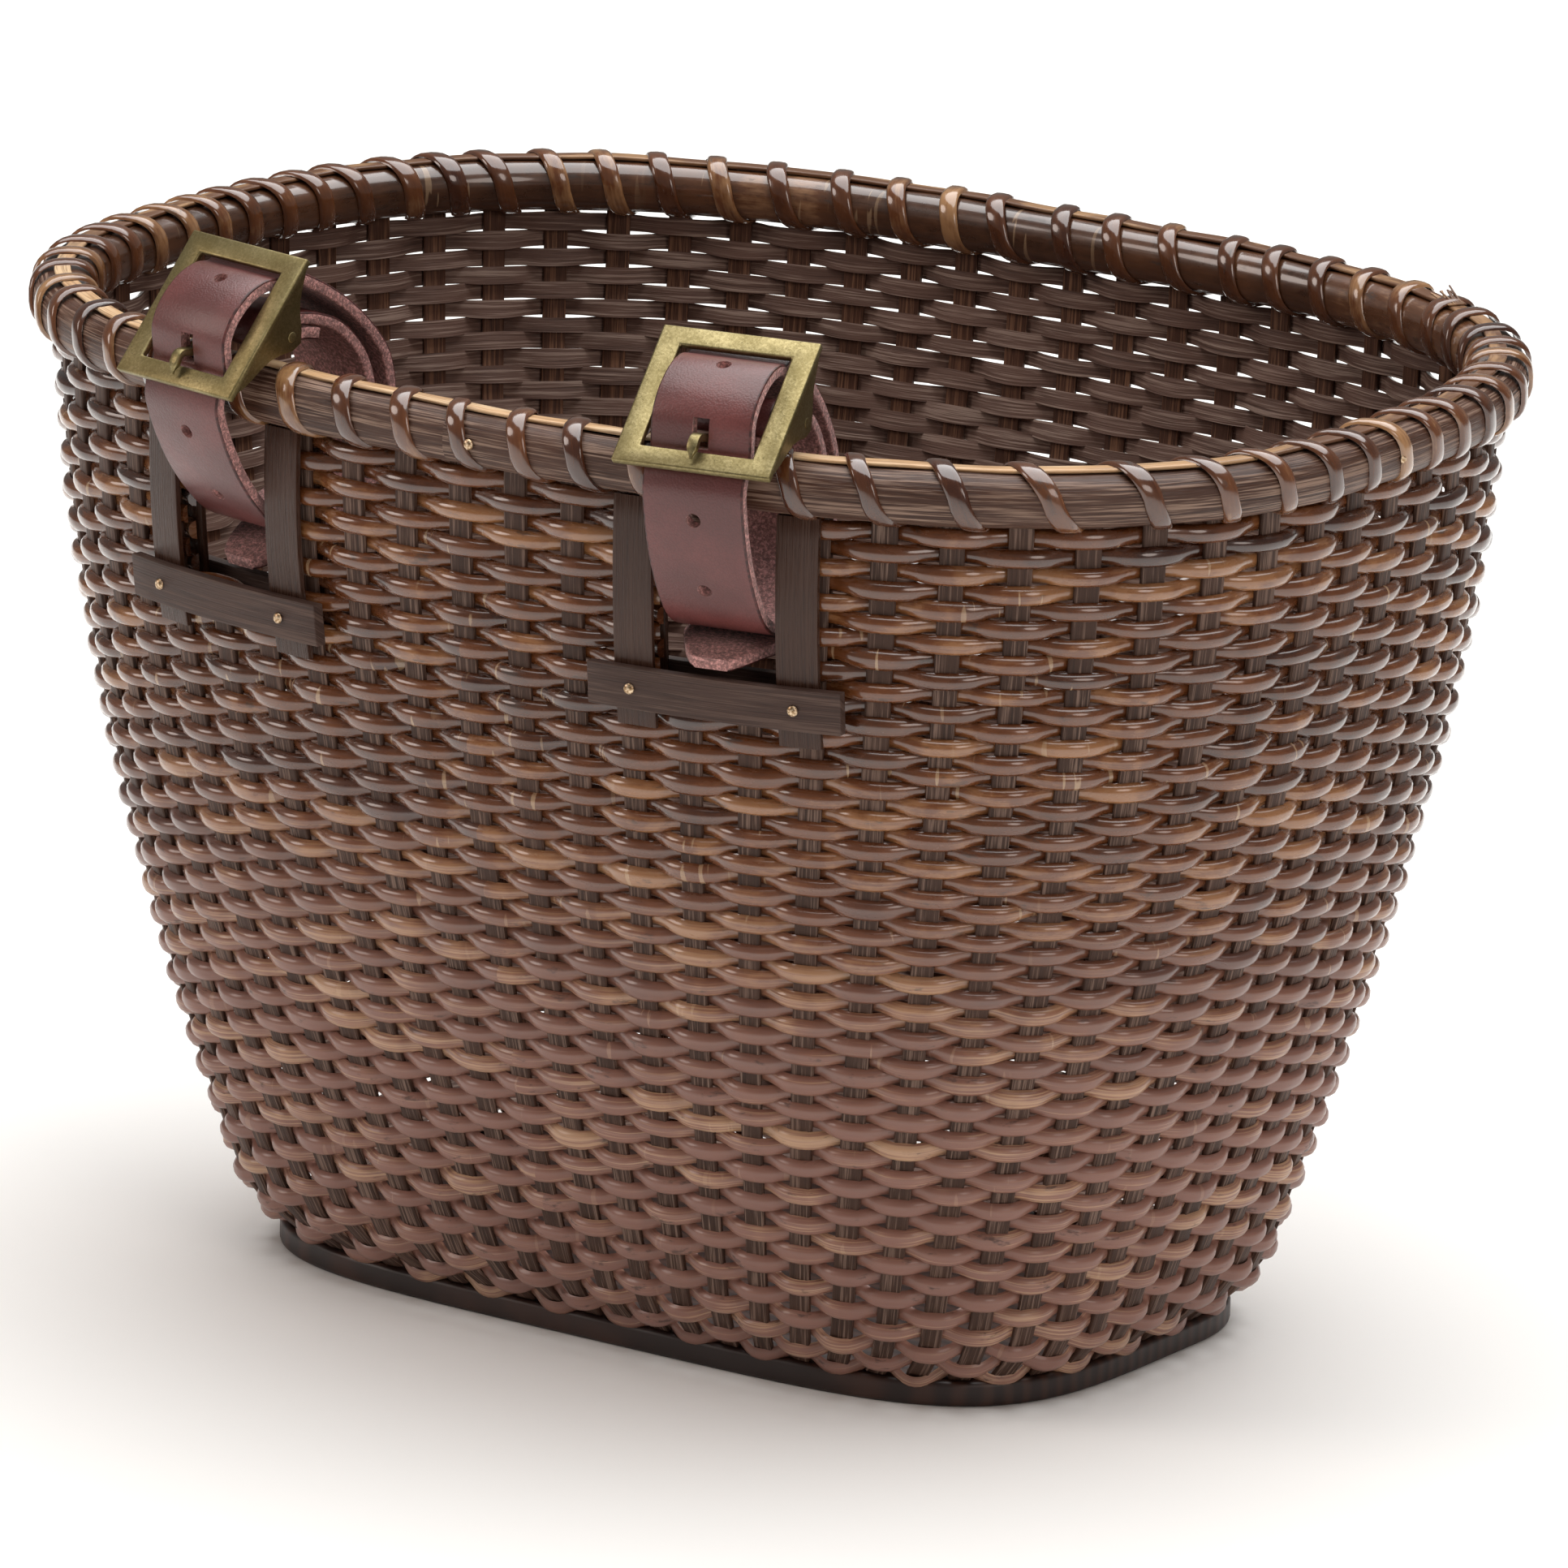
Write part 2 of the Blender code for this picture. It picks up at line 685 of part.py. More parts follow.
def strap_half_widths(path):
    """Full width, then a tapered tip."""
    lengths = np.concatenate([[0.0], np.cumsum(np.linalg.norm(np.diff(path, axis=0), axis=1))])
    left = lengths[-1] - lengths
    share = np.clip(left / STRAP_TIP_LENGTH, 0, 1)
    return (STRAP_TIP_WIDTH + (STRAP_WIDTH - STRAP_TIP_WIDTH) * share**0.7) / 2


def prong_hole_index(path):
    """Where the path crosses the prong, on its way up through the frame."""
    target = np.array(buckle_to_section(9.6 * MM, 0.3 * MM))
    return int(np.argmin(np.linalg.norm(path - target, axis=1)))


def place_along(path, start, distance):
    """(point, direction) at a distance along the path from the point numbered start."""
    lengths = np.concatenate([[0.0], np.cumsum(np.linalg.norm(np.diff(path, axis=0), axis=1))])
    arc = lengths[start] + distance
    point = np.array([np.interp(arc, lengths, path[:, k]) for k in (0, 1)])
    ahead = np.array([np.interp(arc + 0.5 * MM, lengths, path[:, k]) for k in (0, 1)])
    return point, (ahead - point) / np.linalg.norm(ahead - point)


def slot_cutter(name, frame, point, direction, length, width, depth, forward=0.0):
    """A box that cuts through the strap at a point of its path."""
    point = point + direction * forward
    normal = np.array((-direction[1], direction[0]))
    rings = []
    for reach in (-depth, depth):
        ring = []
        for a, s in ((-length, -width), (length, -width), (length, width), (-length, width)):
            d, h = point + direction * a / 2 + normal * reach
            ring.append(frame.section_point(s / 2, d, h))
        rings.append(ring)
    return cutter(name, capped_loft(name, rings))


def hole_cutter(name, frame, point, direction):
    normal = np.array((-direction[1], direction[0]))
    start, end = point - normal * 2.5 * MM, point + normal * 2.5 * MM
    radii = ((0, STRAP_HOLE_RADIUS), (1, STRAP_HOLE_RADIUS))
    return cutter(name, rod_mesh(name, frame.section_point(0, *start), frame.section_point(0, *end), radii, 10))


def cut_strap_holes(frame, strap, path):
    side = frame.side
    start = prong_hole_index(path)
    point, direction = place_along(path, start, 0)
    slot_width = PRONG_WIDTH + 3 * GAP
    cut(strap, slot_cutter(f"cut_{side}_prong_slot", frame, point, direction,
                           PRONG_SLOT_LENGTH, slot_width, 2.5 * MM, 1.4 * MM))
    for number, pitches in enumerate((-2, -1, 1, 2), 1):
        point, direction = place_along(path, start, pitches * STRAP_HOLE_PITCH)
        cut(strap, hole_cutter(f"cut_{side}_strap_hole_{number}", frame, point, direction))
    point = np.array(inner_loop_points()[1])
    direction = np.array((0.0, -1.0))
    cut(strap, slot_cutter(f"cut_{side}_inner_slot", frame, point, direction, *INNER_SLOT, 2.5 * MM))
    pin = np.array(buckle_to_section(*PIN_PLACE))
    clear = 2 * (PRONG_EYE_RADIUS + GAP)
    fold_cut = slot_cutter(f"cut_{side}_fold_slot", frame, pin + np.array((1.5 * MM, 0)), np.array((1.0, 0.0)),
                           clear + 3 * MM, slot_width, PIN_RADIUS + STRAP_THICKNESS + 1.5 * MM)
    cut(strap, fold_cut)


def make_strap(frame, body):
    path = strap_path()
    name = f"{frame.side}_strap"
    mesh = ribbon_mesh(name, frame, path, STRAP_THICKNESS, strap_half_widths(path))
    strap = add_object(name, mesh, leather(), body)
    cut_strap_holes(frame, strap, path)


# ---------------------------------------------------------------- buckles


def buckle_half_width():
    return STRAP_WIDTH / 2 + BUCKLE_SIDE_CLEARANCE + BUCKLE_SIDE_BAR


def make_buckle_frame(frame, body):
    """Square frame with two ears that carry the pin."""
    name = f"{frame.side}_buckle_frame"
    half, q = buckle_half_width(), BUCKLE_THICKNESS / 2
    inner_half = half - BUCKLE_SIDE_BAR
    pin_p, pin_q = PIN_PLACE
    ear_low = pin_q - PIN_RADIUS - GAP - EAR_REACH
    outline = [(0, -q), (0, q), (BUCKLE_HEIGHT, q), (BUCKLE_HEIGHT, -q),
               (pin_p + 5.5 * MM, ear_low * 0.55), (pin_p + 2.6 * MM, ear_low), (pin_p - 2.6 * MM, ear_low),
               (pin_p - 5.5 * MM, ear_low * 0.55), (pin_p - 13 * MM, -q)]
    rings = [[frame.section_point(s, *buckle_to_section(p, v)) for p, v in outline] for s in (-half, half)]
    obj = add_object(name, capped_loft(name, rings), antique_brass(), body)

    window = [(BUCKLE_CROSS_BAR, -4 * q), (BUCKLE_CROSS_BAR, 4 * q),
              (BUCKLE_HEIGHT - BUCKLE_CROSS_BAR, 4 * q), (BUCKLE_HEIGHT - BUCKLE_CROSS_BAR, -4 * q)]
    rings = [[frame.section_point(s, *buckle_to_section(p, v)) for p, v in window]
             for s in (-inner_half, inner_half)]
    cut(obj, cutter(f"cut_{frame.side}_buckle_opening", capped_loft("opening", rings)))

    trough_half = half - EAR_THICKNESS
    trough_top = -q + TROUGH_BITE
    trough = [(-2 * MM, trough_top), (BUCKLE_HEIGHT + 2 * MM, trough_top),
              (BUCKLE_HEIGHT + 2 * MM, 2 * ear_low), (-2 * MM, 2 * ear_low)]
    rings = [[frame.section_point(s, *buckle_to_section(p, v)) for p, v in trough]
             for s in (-trough_half, trough_half)]
    cut(obj, cutter(f"cut_{frame.side}_buckle_trough", capped_loft("trough", rings)))
    bore = pin_rod("bore", frame, PIN_RADIUS + GAP, half + 2 * MM)
    cut(obj, cutter(f"cut_{frame.side}_buckle_bore", bore))


def pin_rod(name, frame, radius, half_length, sides=16):
    d, h = buckle_to_section(*PIN_PLACE)
    start, end = frame.section_point(-half_length, d, h), frame.section_point(half_length, d, h)
    return rod_mesh(name, start, end, ((0, radius), (1, radius)), sides)


def make_buckle_pin(frame, body):
    name = f"{frame.side}_buckle_pin"
    add_object(name, pin_rod(name, frame, PIN_RADIUS, buckle_half_width()), antique_brass(), body)


def prong_points():
    """The prong's middle line from its eye, up through the strap and onto the lower bar."""
    rest = BUCKLE_THICKNESS / 2 + GAP + PRONG_THICKNESS / 2
    pin_p, pin_q = PIN_PLACE
    points = [(pin_p - PRONG_EYE_RADIUS + 0.6 * MM, pin_q), (15 * MM, -6.3 * MM), (11.6 * MM, -2.6 * MM),
              (9.3 * MM, 0.9 * MM), (7.2 * MM, 3.6 * MM), (4.6 * MM, 3.4 * MM), (1.9 * MM, rest)]
    return [buckle_to_section(p, q) for p, q in points]


def make_prong(frame, body):
    """Flat bent prong with an eye round the pin."""
    name = f"{frame.side}_buckle_prong"
    half = PRONG_WIDTH / 2
    path = smooth_path(prong_points(), 2.2 * MM)
    widths = np.linspace(half, half * 0.8, len(path))
    prong = add_object(name, ribbon_mesh(name, frame, path, PRONG_THICKNESS, widths), antique_brass(), body)
    eye = add_object(f"{name}_eye", pin_rod("eye", frame, PRONG_EYE_RADIUS, half, 16), antique_brass(), body)
    eye.hide_render = True
    eye.display_type = "WIRE"
    join = prong.modifiers.new("eye", "BOOLEAN")
    join.operation = "UNION"
    join.solver = "EXACT"
    join.object = eye
    bore = cutter(f"cut_{frame.side}_prong_bore", pin_rod("bore", frame, PIN_RADIUS + GAP, 2 * half))
    cut(prong, bore)


def make_strap_set(side):
    frame = StrapFrame(side)
    swing = add_pivot(f"{side}_strap_swing", frame.swing_point())
    make_strap(frame, swing)
    make_buckle_frame(frame, swing)
    make_buckle_pin(frame, swing)
    lift = add_pivot(f"{side}_prong_lift", frame.section_point(0, *buckle_to_section(*PIN_PLACE)))
    lift.parent = swing
    lift.matrix_parent_inverse = swing.matrix_world.inverted()
    bpy.context.view_layer.update()
    make_prong(frame, lift)


def clear_scene():
    for obj in list(bpy.data.objects):
        bpy.data.objects.remove(obj, do_unlink=True)


def main():
    clear_scene()
    make_base_board()
    wall = make_woven_wall()
    make_rim(RimLine())
    for side in SIDES:
        make_window(StrapFrame(side), wall)
        make_strap_set(side)


main()
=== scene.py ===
"""Finished pieces of a woven cane handlebar basket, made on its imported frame.

Metres, +Z up, origin in the middle of the base board's underside. The handlebar side is -Y.
"""

import json
import math

import bmesh
import bpy
import numpy as np
from bpy.props import FloatProperty, FloatVectorProperty, IntProperty, PointerProperty
from mathutils import Matrix, Vector


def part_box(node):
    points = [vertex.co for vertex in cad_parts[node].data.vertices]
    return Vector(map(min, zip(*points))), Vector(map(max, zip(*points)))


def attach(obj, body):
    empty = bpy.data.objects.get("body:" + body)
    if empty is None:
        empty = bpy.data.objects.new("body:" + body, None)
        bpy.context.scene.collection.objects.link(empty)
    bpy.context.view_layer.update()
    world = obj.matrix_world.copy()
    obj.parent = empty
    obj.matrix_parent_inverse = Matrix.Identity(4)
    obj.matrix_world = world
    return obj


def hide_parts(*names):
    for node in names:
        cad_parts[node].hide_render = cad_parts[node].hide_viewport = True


bl_info = {
    "name": "Handlebar Basket",
    "version": (1, 0, 0),
    "blender": (4, 5, 0),
    "location": "3D View > Sidebar > Basket",
    "description": "Models the weave, rim, straps and buckles of a cane handlebar basket on its frame",
    "category": "Object",
}

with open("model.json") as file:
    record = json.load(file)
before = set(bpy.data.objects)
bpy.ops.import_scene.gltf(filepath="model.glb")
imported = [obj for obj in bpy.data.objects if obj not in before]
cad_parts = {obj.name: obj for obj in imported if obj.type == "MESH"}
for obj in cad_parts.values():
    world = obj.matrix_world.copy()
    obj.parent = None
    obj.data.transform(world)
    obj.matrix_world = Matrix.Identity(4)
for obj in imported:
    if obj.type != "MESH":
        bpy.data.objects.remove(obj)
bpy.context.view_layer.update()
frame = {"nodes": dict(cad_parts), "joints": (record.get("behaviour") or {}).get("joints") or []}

MM = 0.001
SIDES = {"left": -1, "right": 1}
BOARD_LOW, BOARD_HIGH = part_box("base_board")
WALL_LOW, WALL_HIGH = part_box("woven_wall")
CORE_LOW, CORE_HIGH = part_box("rim_border_core")
HOOP_LOW, HOOP_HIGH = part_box("rim_outer_hoop")
BAR_LOW, BAR_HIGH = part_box("right_window_outer_bar")

UPWARD = (0.0, 0.0, 1.0)
SEEDS = {"stakes": 7, "weave": 3, "outer": 20, "inner": 21, "cap": 31, "fray": 37, "lashing": 41, "drift": 43}
OUTLINE_STATIONS = 2881
RIM_SAMPLES = 2000
BOARD_SIDES = 288
HOOP_STATIONS = 420
CAP_STATIONS = 560
TURN_STEPS = 26
OPEN_STEPS = 4
FRAY_FIBRES = 9
# Rows stand closer near the foot and open up towards the rim, as shares of the slope.
HEAD_START, HEAD_OPENING, HEAD_REACH = 0.62, 0.09, 0.38
FOOT_CLOSING, FOOT_REACH = 0.08, 0.1
STRAP_HOLES = (-2, -1, 1, 2)
EYE_WALL = 1.7 * MM
SLAT_CUTS = 9
MERGE = 0.01 * MM


# ------------------------------------------------------------------ settings


def length(name, millimetres, description):
    return FloatProperty(
        name=name, description=description, default=millimetres * MM, min=0.0, precision=5, unit="LENGTH"
    )


def colour(name, value, description):
    return FloatVectorProperty(name=name, description=description, default=value, size=3, subtype="COLOR")


def factor(name, value, description):
    return FloatProperty(name=name, description=description, default=value)


def degrees(name, value, description):
    return FloatProperty(name=name, description=description, default=math.radians(value), subtype="ANGLE")


def whole(name, value, least, description):
    return IntProperty(name=name, description=description, default=value, min=least)


class OutlineSettings(bpy.types.PropertyGroup):
    rim_near_power: factor("Rim near squareness", 2.45, "Power of the near half")
    rim_far_power: factor("Rim far squareness", 2.8, "Power of the far half")
    base_near_power: factor("Base near squareness", 4.5, "Power of the near half")
    base_far_power: factor("Base far squareness", 2.7, "Power of the far half")
    base_shift: length("Base shift", 32, "How far behind the origin the base board is widest")
    taper_share: factor("Taper", 0.10, "Straight share of the wall's opening")
    curl: factor("Curl", 1.85, "How quickly the wall curls up from the base")
    foot_inset: length("Foot inset", 6.5, "How far the wall's foot curls in towards the board")
    foot_share: factor("Foot share", 0.07, "Share of the wall's height that curls")
    wall_thickness: length("Wall thickness", 5, "Thickness of the woven wall")
    core_thickness: length("Core thickness", 1.6, "Stake ends between the two hoops")


class WeaveSettings(bpy.types.PropertyGroup):
    stakes: whole("Stakes", 64, 8, "Upright stakes, an even number")
    rows: whole("Rows", 56, 8, "Woven rows from base to rim")
    steps: whole("Steps", 8, 4, "Rings of a strand from stake to stake")
    bands: whole("Bands", 4, 1, "Objects that the rows are shared between")
    stake_width: length("Stake width", 6.2, "Width of a stake at the rim")
    stake_thickness: length("Stake thickness", 1.6, "Thickness of a stake")
    strand_width: length("Strand width", 4.95, "Width of a split-cane strand")
    strand_thickness: length("Strand thickness", 2.1, "Thickness of a split-cane strand")
    far_slack: factor("Far slack", 0.03, "How much narrower the far strands are")
    skin_dark: colour("Dark skin", (0.042, 0.0115, 0.0045), "Darkest tone of the cane's skin")
    skin_amber: colour("Amber skin", (0.150, 0.047, 0.014), "Middle tone of the cane's skin")
    skin_pale: colour("Pale skin", (0.29, 0.128, 0.050), "Palest tone of the cane's skin")


class RimSettings(bpy.types.PropertyGroup):
    gap: length("Gap", 0.3, "Clearance between neighbouring pieces")
    hoop_depth: length("Hoop depth", 6.5, "Depth of a half-round hoop")
    hoop_power: factor("Hoop roundness", 2.5, "2 is a half circle, more is squarer")
    cap_width: length("Cap width", 4.4, "Width of the strip on the seam")
    cap_thickness: length("Cap thickness", 1.0, "Thickness of the strip on the seam")
    turns: whole("Lashing turns", 66, 8, "Turns of the lashing round the rim")
    lashing_width: length("Lashing width", 5.0, "Width of the lashing strip")
    lashing_thickness: length("Lashing thickness", 1.1, "Thickness of the lashing strip")
    fray_place: length("Frayed end", 386, "Where the cap strip's end stands up, along the rim")
    slack_place: length("Slack place", 150, "Where the turns lie furthest apart, along the rim")
    slack_reach: length("Slack reach", 62, "How far the wide spacing reaches to each side")
    slack: factor("Slack", 0.42, "Extra share of spacing there")


class WindowSettings(bpy.types.PropertyGroup):
    side_clearance: length("Side clearance", 3.1, "From the strap's edge to the window's side strip")
    strip_width: length("Strip width", 10.5, "Width of an upright strip")
    strip_thickness: length("Strip thickness", 1.6, "Thickness of an upright strip")
    strip_tail: length("Strip tail", 5, "How far a strip shows below its bar")
    bar_overhang: length("Bar overhang", 6.4, "How far a bar reaches past its strips")
    bar_thickness: length("Bar thickness", 3.2, "Thickness of a bar")
    nail_radius: length("Nail head radius", 1.4, "Radius of a nail's head")


class StrapSettings(bpy.types.PropertyGroup):
    width: length("Strap width", 26, "Width of a strap")
    thickness: length("Strap thickness", 3, "Thickness of the leather")
    swing_drop: length("Swing centre drop", 5.5, "Swing centre below the top of the hoops")
    lean_left: degrees("Left lean", -5, "Rest lean")
    lean_right: degrees("Right lean", 4, "Rest lean")
    tip_length: length("Tip length", 14, "Length over which the free end narrows")
    tip_width: length("Tip width", 9, "Width of the free end")
    hole_radius: length("Hole radius", 1.9, "Radius of a punched hole")
    hole_pitch: length("Hole pitch", 20, "From one hole to the next")
    slot_length: length("Prong slot", 7.5, "Length of the slot the prong passes through")
    slot_lead: length("Slot lead", 1.4, "How far the slot's middle lies past the prong's place")
    inner_slot_length: length("Inner slot length", 5, "Height of the slot in the inner run")
    inner_slot_width: length("Inner slot width", 11, "Width of the slot in the inner run")
    grain: colour("Grain side", (0.125, 0.031, 0.028), "Smooth side of the leather")
    flesh: colour("Flesh side", (0.48, 0.235, 0.215), "Suede side and edges of the leather")


class BuckleSettings(bpy.types.PropertyGroup):
    side_clearance: length("Side clearance", 1.5, "From the strap's edge to the frame's side bar")
    height: length("Height", 40, "Height of the square frame")
    side_bar: length("Side bar", 6.0, "Width of a side bar")
    cross_bar: length("Cross bar", 5.2, "Width of the upper and lower bars")
    thickness: length("Thickness", 2.0, "Thickness of the frame")
    lean: degrees("Lean", 134, "Slope of the face")
    foot_out: length("Foot out", 19.0, "How far out of the rim's middle the lower bar lies")
    foot_drop: length("Foot drop", 2.5, "How far the lower bar lies below the hoops' tops")
    ear_thickness: length("Ear thickness", 1.6, "Thickness of a side flange")
    ear_reach: length("Ear reach", 1.7, "Metal below the pin's bore")
    pin_up: length("Pin height", 22.5, "Pin's place up the frame")
    pin_depth: length("Pin depth", 7.5, "Pin's place behind the frame")
    pin_radius: length("Pin radius", 1.5, "Radius of the pin")
    prong_width: length("Prong width", 3.4, "Width of the prong")
    prong_thickness: length("Prong thickness", 2.2, "Thickness of the prong")
    brass: colour("Patina", (0.185, 0.148, 0.064), "Dark olive patina")
    bright: colour("Bright brass", (0.40, 0.335, 0.175), "Worn metal")


class StageSettings(bpy.types.PropertyGroup):
    azimuth: degrees("Azimuth", 34.17, "View")
    elevation: degrees("Elevation", 15.26, "View")
    roll: degrees("Roll", 1.43, "View")
    distance: length("Distance", 3408, "From target to camera")
    lens: factor("Lens", 313.9, "Focal length in millimetres")
    target_side: length("Target side", 11.7, "Target's place to the view's right")
    target_height: length("Target height", 131, "Target's height")
    surroundings: factor("Surroundings", 0.16, "Strength of the room's light")
    room_colour: colour("Room colour", (1.0, 0.965, 0.93), "Colour of the room's light")
    top_power: factor("Top softbox", 138.0, "Power in watts")
    side_colour: colour("Side light colour", (1.0, 0.87, 0.80), "Colour of the two side lights")
    side_power: factor("Side softboxes", 22.0, "Power in watts")
    floor_size: length("Floor size", 14000, "Side of the floor")
    floor_colour: colour("Floor colour", (0.92, 0.92, 0.90), "Plain pale floor")


SETTINGS = {
    "outline": OutlineSettings,
    "weave": WeaveSettings,
    "rim": RimSettings,
    "window": WindowSettings,
    "strap": StrapSettings,
    "buckle": BuckleSettings,
    "stage": StageSettings,
}


def settings(name):
    return getattr(bpy.context.scene, f"basket_{name}")


# ------------------------------------------------------------------ objects and meshes


def deselect():
    if bpy.context.mode != "OBJECT":
        bpy.ops.object.mode_set(mode="OBJECT")
    bpy.ops.object.select_all(action="DESELECT")


def select_only(obj):
    deselect()
    obj.select_set(True)
    bpy.context.view_layer.objects.active = obj


def named(obj, name):
    obj.name = name
    obj.data.name = name
    return obj


def apply_modifier(obj, kind, **values):
    select_only(obj)
    modifier = obj.modifiers.new(kind.title(), kind)
    for key, value in values.items():
        setattr(modifier, key, value)
    bpy.ops.object.modifier_apply(modifier=modifier.name)


def apply_placement(obj):
    select_only(obj)
    bpy.ops.object.transform_apply(location=True, rotation=True, scale=True)


def shade(obj, angle=35):
    select_only(obj)
    bpy.ops.object.shade_smooth_by_angle(angle=math.radians(angle))


def place(obj, body, *nodes, slot=None, materials=()):
    """Gives a finished piece its materials and its body, and hides the frame nodes it stands for."""
    for material in materials:
        obj.data.materials.append(material)
    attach(obj, body)
    if nodes:
        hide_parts(*nodes)
    return obj


def edit_all(obj, operator, **values):
    """Runs one edit-mode operator on the whole mesh."""
    select_only(obj)
    bpy.ops.object.mode_set(mode="EDIT")
    bpy.ops.mesh.select_all(action="SELECT")
    operator(**values)
    bpy.ops.object.mode_set(mode="OBJECT")


def plate(sides, moved, move):
    """A closed plate: a disc whose points are moved by a function, extruded by a vector."""
    deselect()
    bpy.ops.mesh.primitive_circle_add(vertices=sides, radius=1.0, fill_type="NGON", enter_editmode=True)
    obj = bpy.context.object
    bm = bmesh.from_edit_mesh(obj.data)
    for vert in bm.verts:
        vert.co = moved(*vert.co.xy)
    bmesh.update_edit_mesh(obj.data)
    bpy.ops.mesh.select_all(action="SELECT")
    bpy.ops.mesh.extrude_region_move(TRANSFORM_OT_translate={"value": move})
    bpy.ops.mesh.select_all(action="SELECT")
    bpy.ops.mesh.remove_doubles(threshold=MERGE)
    bpy.ops.mesh.normals_make_consistent(inside=False)
    bpy.ops.object.mode_set(mode="OBJECT")
    return obj


def select_faces(obj, test):
    """In edit mode, selects the faces that the test accepts."""
    bpy.ops.mesh.select_mode(type="FACE")
    bpy.ops.mesh.select_all(action="DESELECT")
    bm = bmesh.from_edit_mesh(obj.data)
    for face in bm.faces:
        face.select_set(test(face))
    bmesh.update_edit_mesh(obj.data)


class Sweeper:
    """Gathers swept strips into one mesh, with UV in metres and a lot number for each strip."""

    def __init__(self):
        self.points, self.faces, self.uvs, self.slots, self.lots = [], [], [], [], []
        self.count = 0

    def add(self, rings, side_slots, lot, loop=False):
        """Adds a strip from its rings of points; side_slots is the material slot of each side."""
        rings = np.asarray(rings, float)
        steps, sides = rings.shape[:2]
        centres = rings.mean(axis=1)
        along = arc_lengths(centres)
        step = np.linalg.norm(centres[0] - centres[-1]) if loop else 0.0
        along = np.append(along, along[-1] + step)
        edges = np.linalg.norm(np.roll(rings[0], -1, axis=0) - rings[0], axis=1)
        around = np.concatenate([[0.0], np.cumsum(edges)])
        for i in range(steps if loop else steps - 1):
            low, high = self.count + i * sides, self.count + (i + 1) % steps * sides
            for j in range(sides):
                k = (j + 1) % sides
                self.faces.append((low + j, low + k, high + k, high + j))
                self.uvs += (along[i], around[j], along[i], around[j + 1])
                self.uvs += (along[i + 1], around[j + 1], along[i + 1], around[j])
        self.slots += list(side_slots) * (steps if loop else steps - 1)
        if not loop:
            for i in (0, steps - 1):
                first = self.count + i * sides
                self.faces.append(tuple(range(first, first + sides)))
                for j in range(sides):
                    self.uvs += (along[i], around[j])
                self.slots.append(side_slots[0])
        self.points.append(rings.reshape(-1, 3))
        self.lots += [lot] * (steps * sides)
        self.count += steps * sides

    def build(self, name, smooth=50):
        mesh = bpy.data.meshes.new(name)
        mesh.from_pydata(np.concatenate(self.points), [], self.faces)
        mesh.uv_layers.new(name="grain").data.foreach_set("uv", self.uvs)
        mesh.attributes.new("lot", "FLOAT", "POINT").data.foreach_set("value", self.lots)
        mesh.polygons.foreach_set("material_index", self.slots)
        bm = bmesh.new()
        bm.from_mesh(mesh)
        bmesh.ops.recalc_face_normals(bm, faces=bm.faces)
        bm.to_mesh(mesh)
        bm.free()
        mesh.shade_smooth()
        mesh.set_sharp_from_angle(angle=math.radians(smooth))
        obj = bpy.data.objects.new(name, mesh)
        bpy.context.scene.collection.objects.link(obj)
        return obj


def sweep(name, rings, side_slots, lot, loop=False, smooth=50):
    """A piece of one swept strip."""
    sweeper = Sweeper()
    sweeper.add(rings, side_slots, lot, loop)
    return sweeper.build(name, smooth)


def draws(name):
    return np.random.default_rng(SEEDS[name])


def arc_lengths(points):
    """Distance along a path to each of its points."""
    return np.concatenate([[0.0], np.cumsum(np.linalg.norm(np.diff(points, axis=0), axis=1))])


def widened(section, widths):
    """A copy of the section for each width, which its across values are multiplied by."""
    sections = np.repeat(section[None], len(widths), axis=0)
    sections[..., 0] *= widths[:, None]
    return sections


def squared(value, power):
    """Sine or cosine of a rounded square's angle, from that of a circle's."""
    return np.sign(value) * np.abs(value) ** (2 / power)


def unit(vectors):
    return vectors / np.linalg.norm(vectors, axis=-1, keepdims=True)


def rings_along(path, normals, section, loop=False):
    """Carries a section of (across, off) points along a path; off runs along the normals."""
    path = np.asarray(path, float)
    if loop:
        along = unit(np.roll(path, -1, axis=0) - np.roll(path, 1, axis=0))
    else:
        along = unit(np.gradient(path, axis=0))
    normals = unit(normals - (normals * along).sum(axis=1, keepdims=True) * along)
    across = np.cross(along, normals)
    section = np.broadcast_to(section, (len(path), *np.shape(section)[-2:]))
    return path[:, None] + across[:, None] * section[..., :1] + normals[:, None] * section[..., 1:]


def rounded_box(width, thickness, radius, steps):
    """Section of a flat strip with rounded corners, as (across, off) points from the lower right."""
    points = []
    for sign_a, sign_o, start in ((1, -1, -90), (1, 1, 0), (-1, 1, 90), (-1, -1, 180)):
        for i in range(steps + 1):
            angle = math.radians(start + 90 * i / steps)
            points.append((sign_a * (width / 2 - radius) + radius * math.cos(angle),
                           sign_o * (thickness / 2 - radius) + radius * math.sin(angle)))
    return np.array(points)


def dome(width, thickness, power, steps=6):
    """Section of split cane: a flat back and a rounded skin. The last side is the back."""
    angles = np.linspace(0, math.pi, steps + 1)
    across = squared(np.cos(angles), power) * width / 2
    off = np.abs(np.sin(angles)) ** (2 / power) * thickness - thickness / 2
    return np.column_stack([across, off])


# ------------------------------------------------------------------ shader maths


class Value:
    """A shader socket; arithmetic on it adds Math nodes."""

    def __init__(self, graph, socket):
        self.graph, self.socket = graph, socket

    def _math(self, operation, other):
        return self.graph.node("ShaderNodeMath", {"operation": operation}, {0: self, 1: other})

    def __add__(self, other):
        return self._math("ADD", other)

    def __sub__(self, other):
        return self._math("SUBTRACT", other)

    def __mul__(self, other):
        return self._math("MULTIPLY", other)


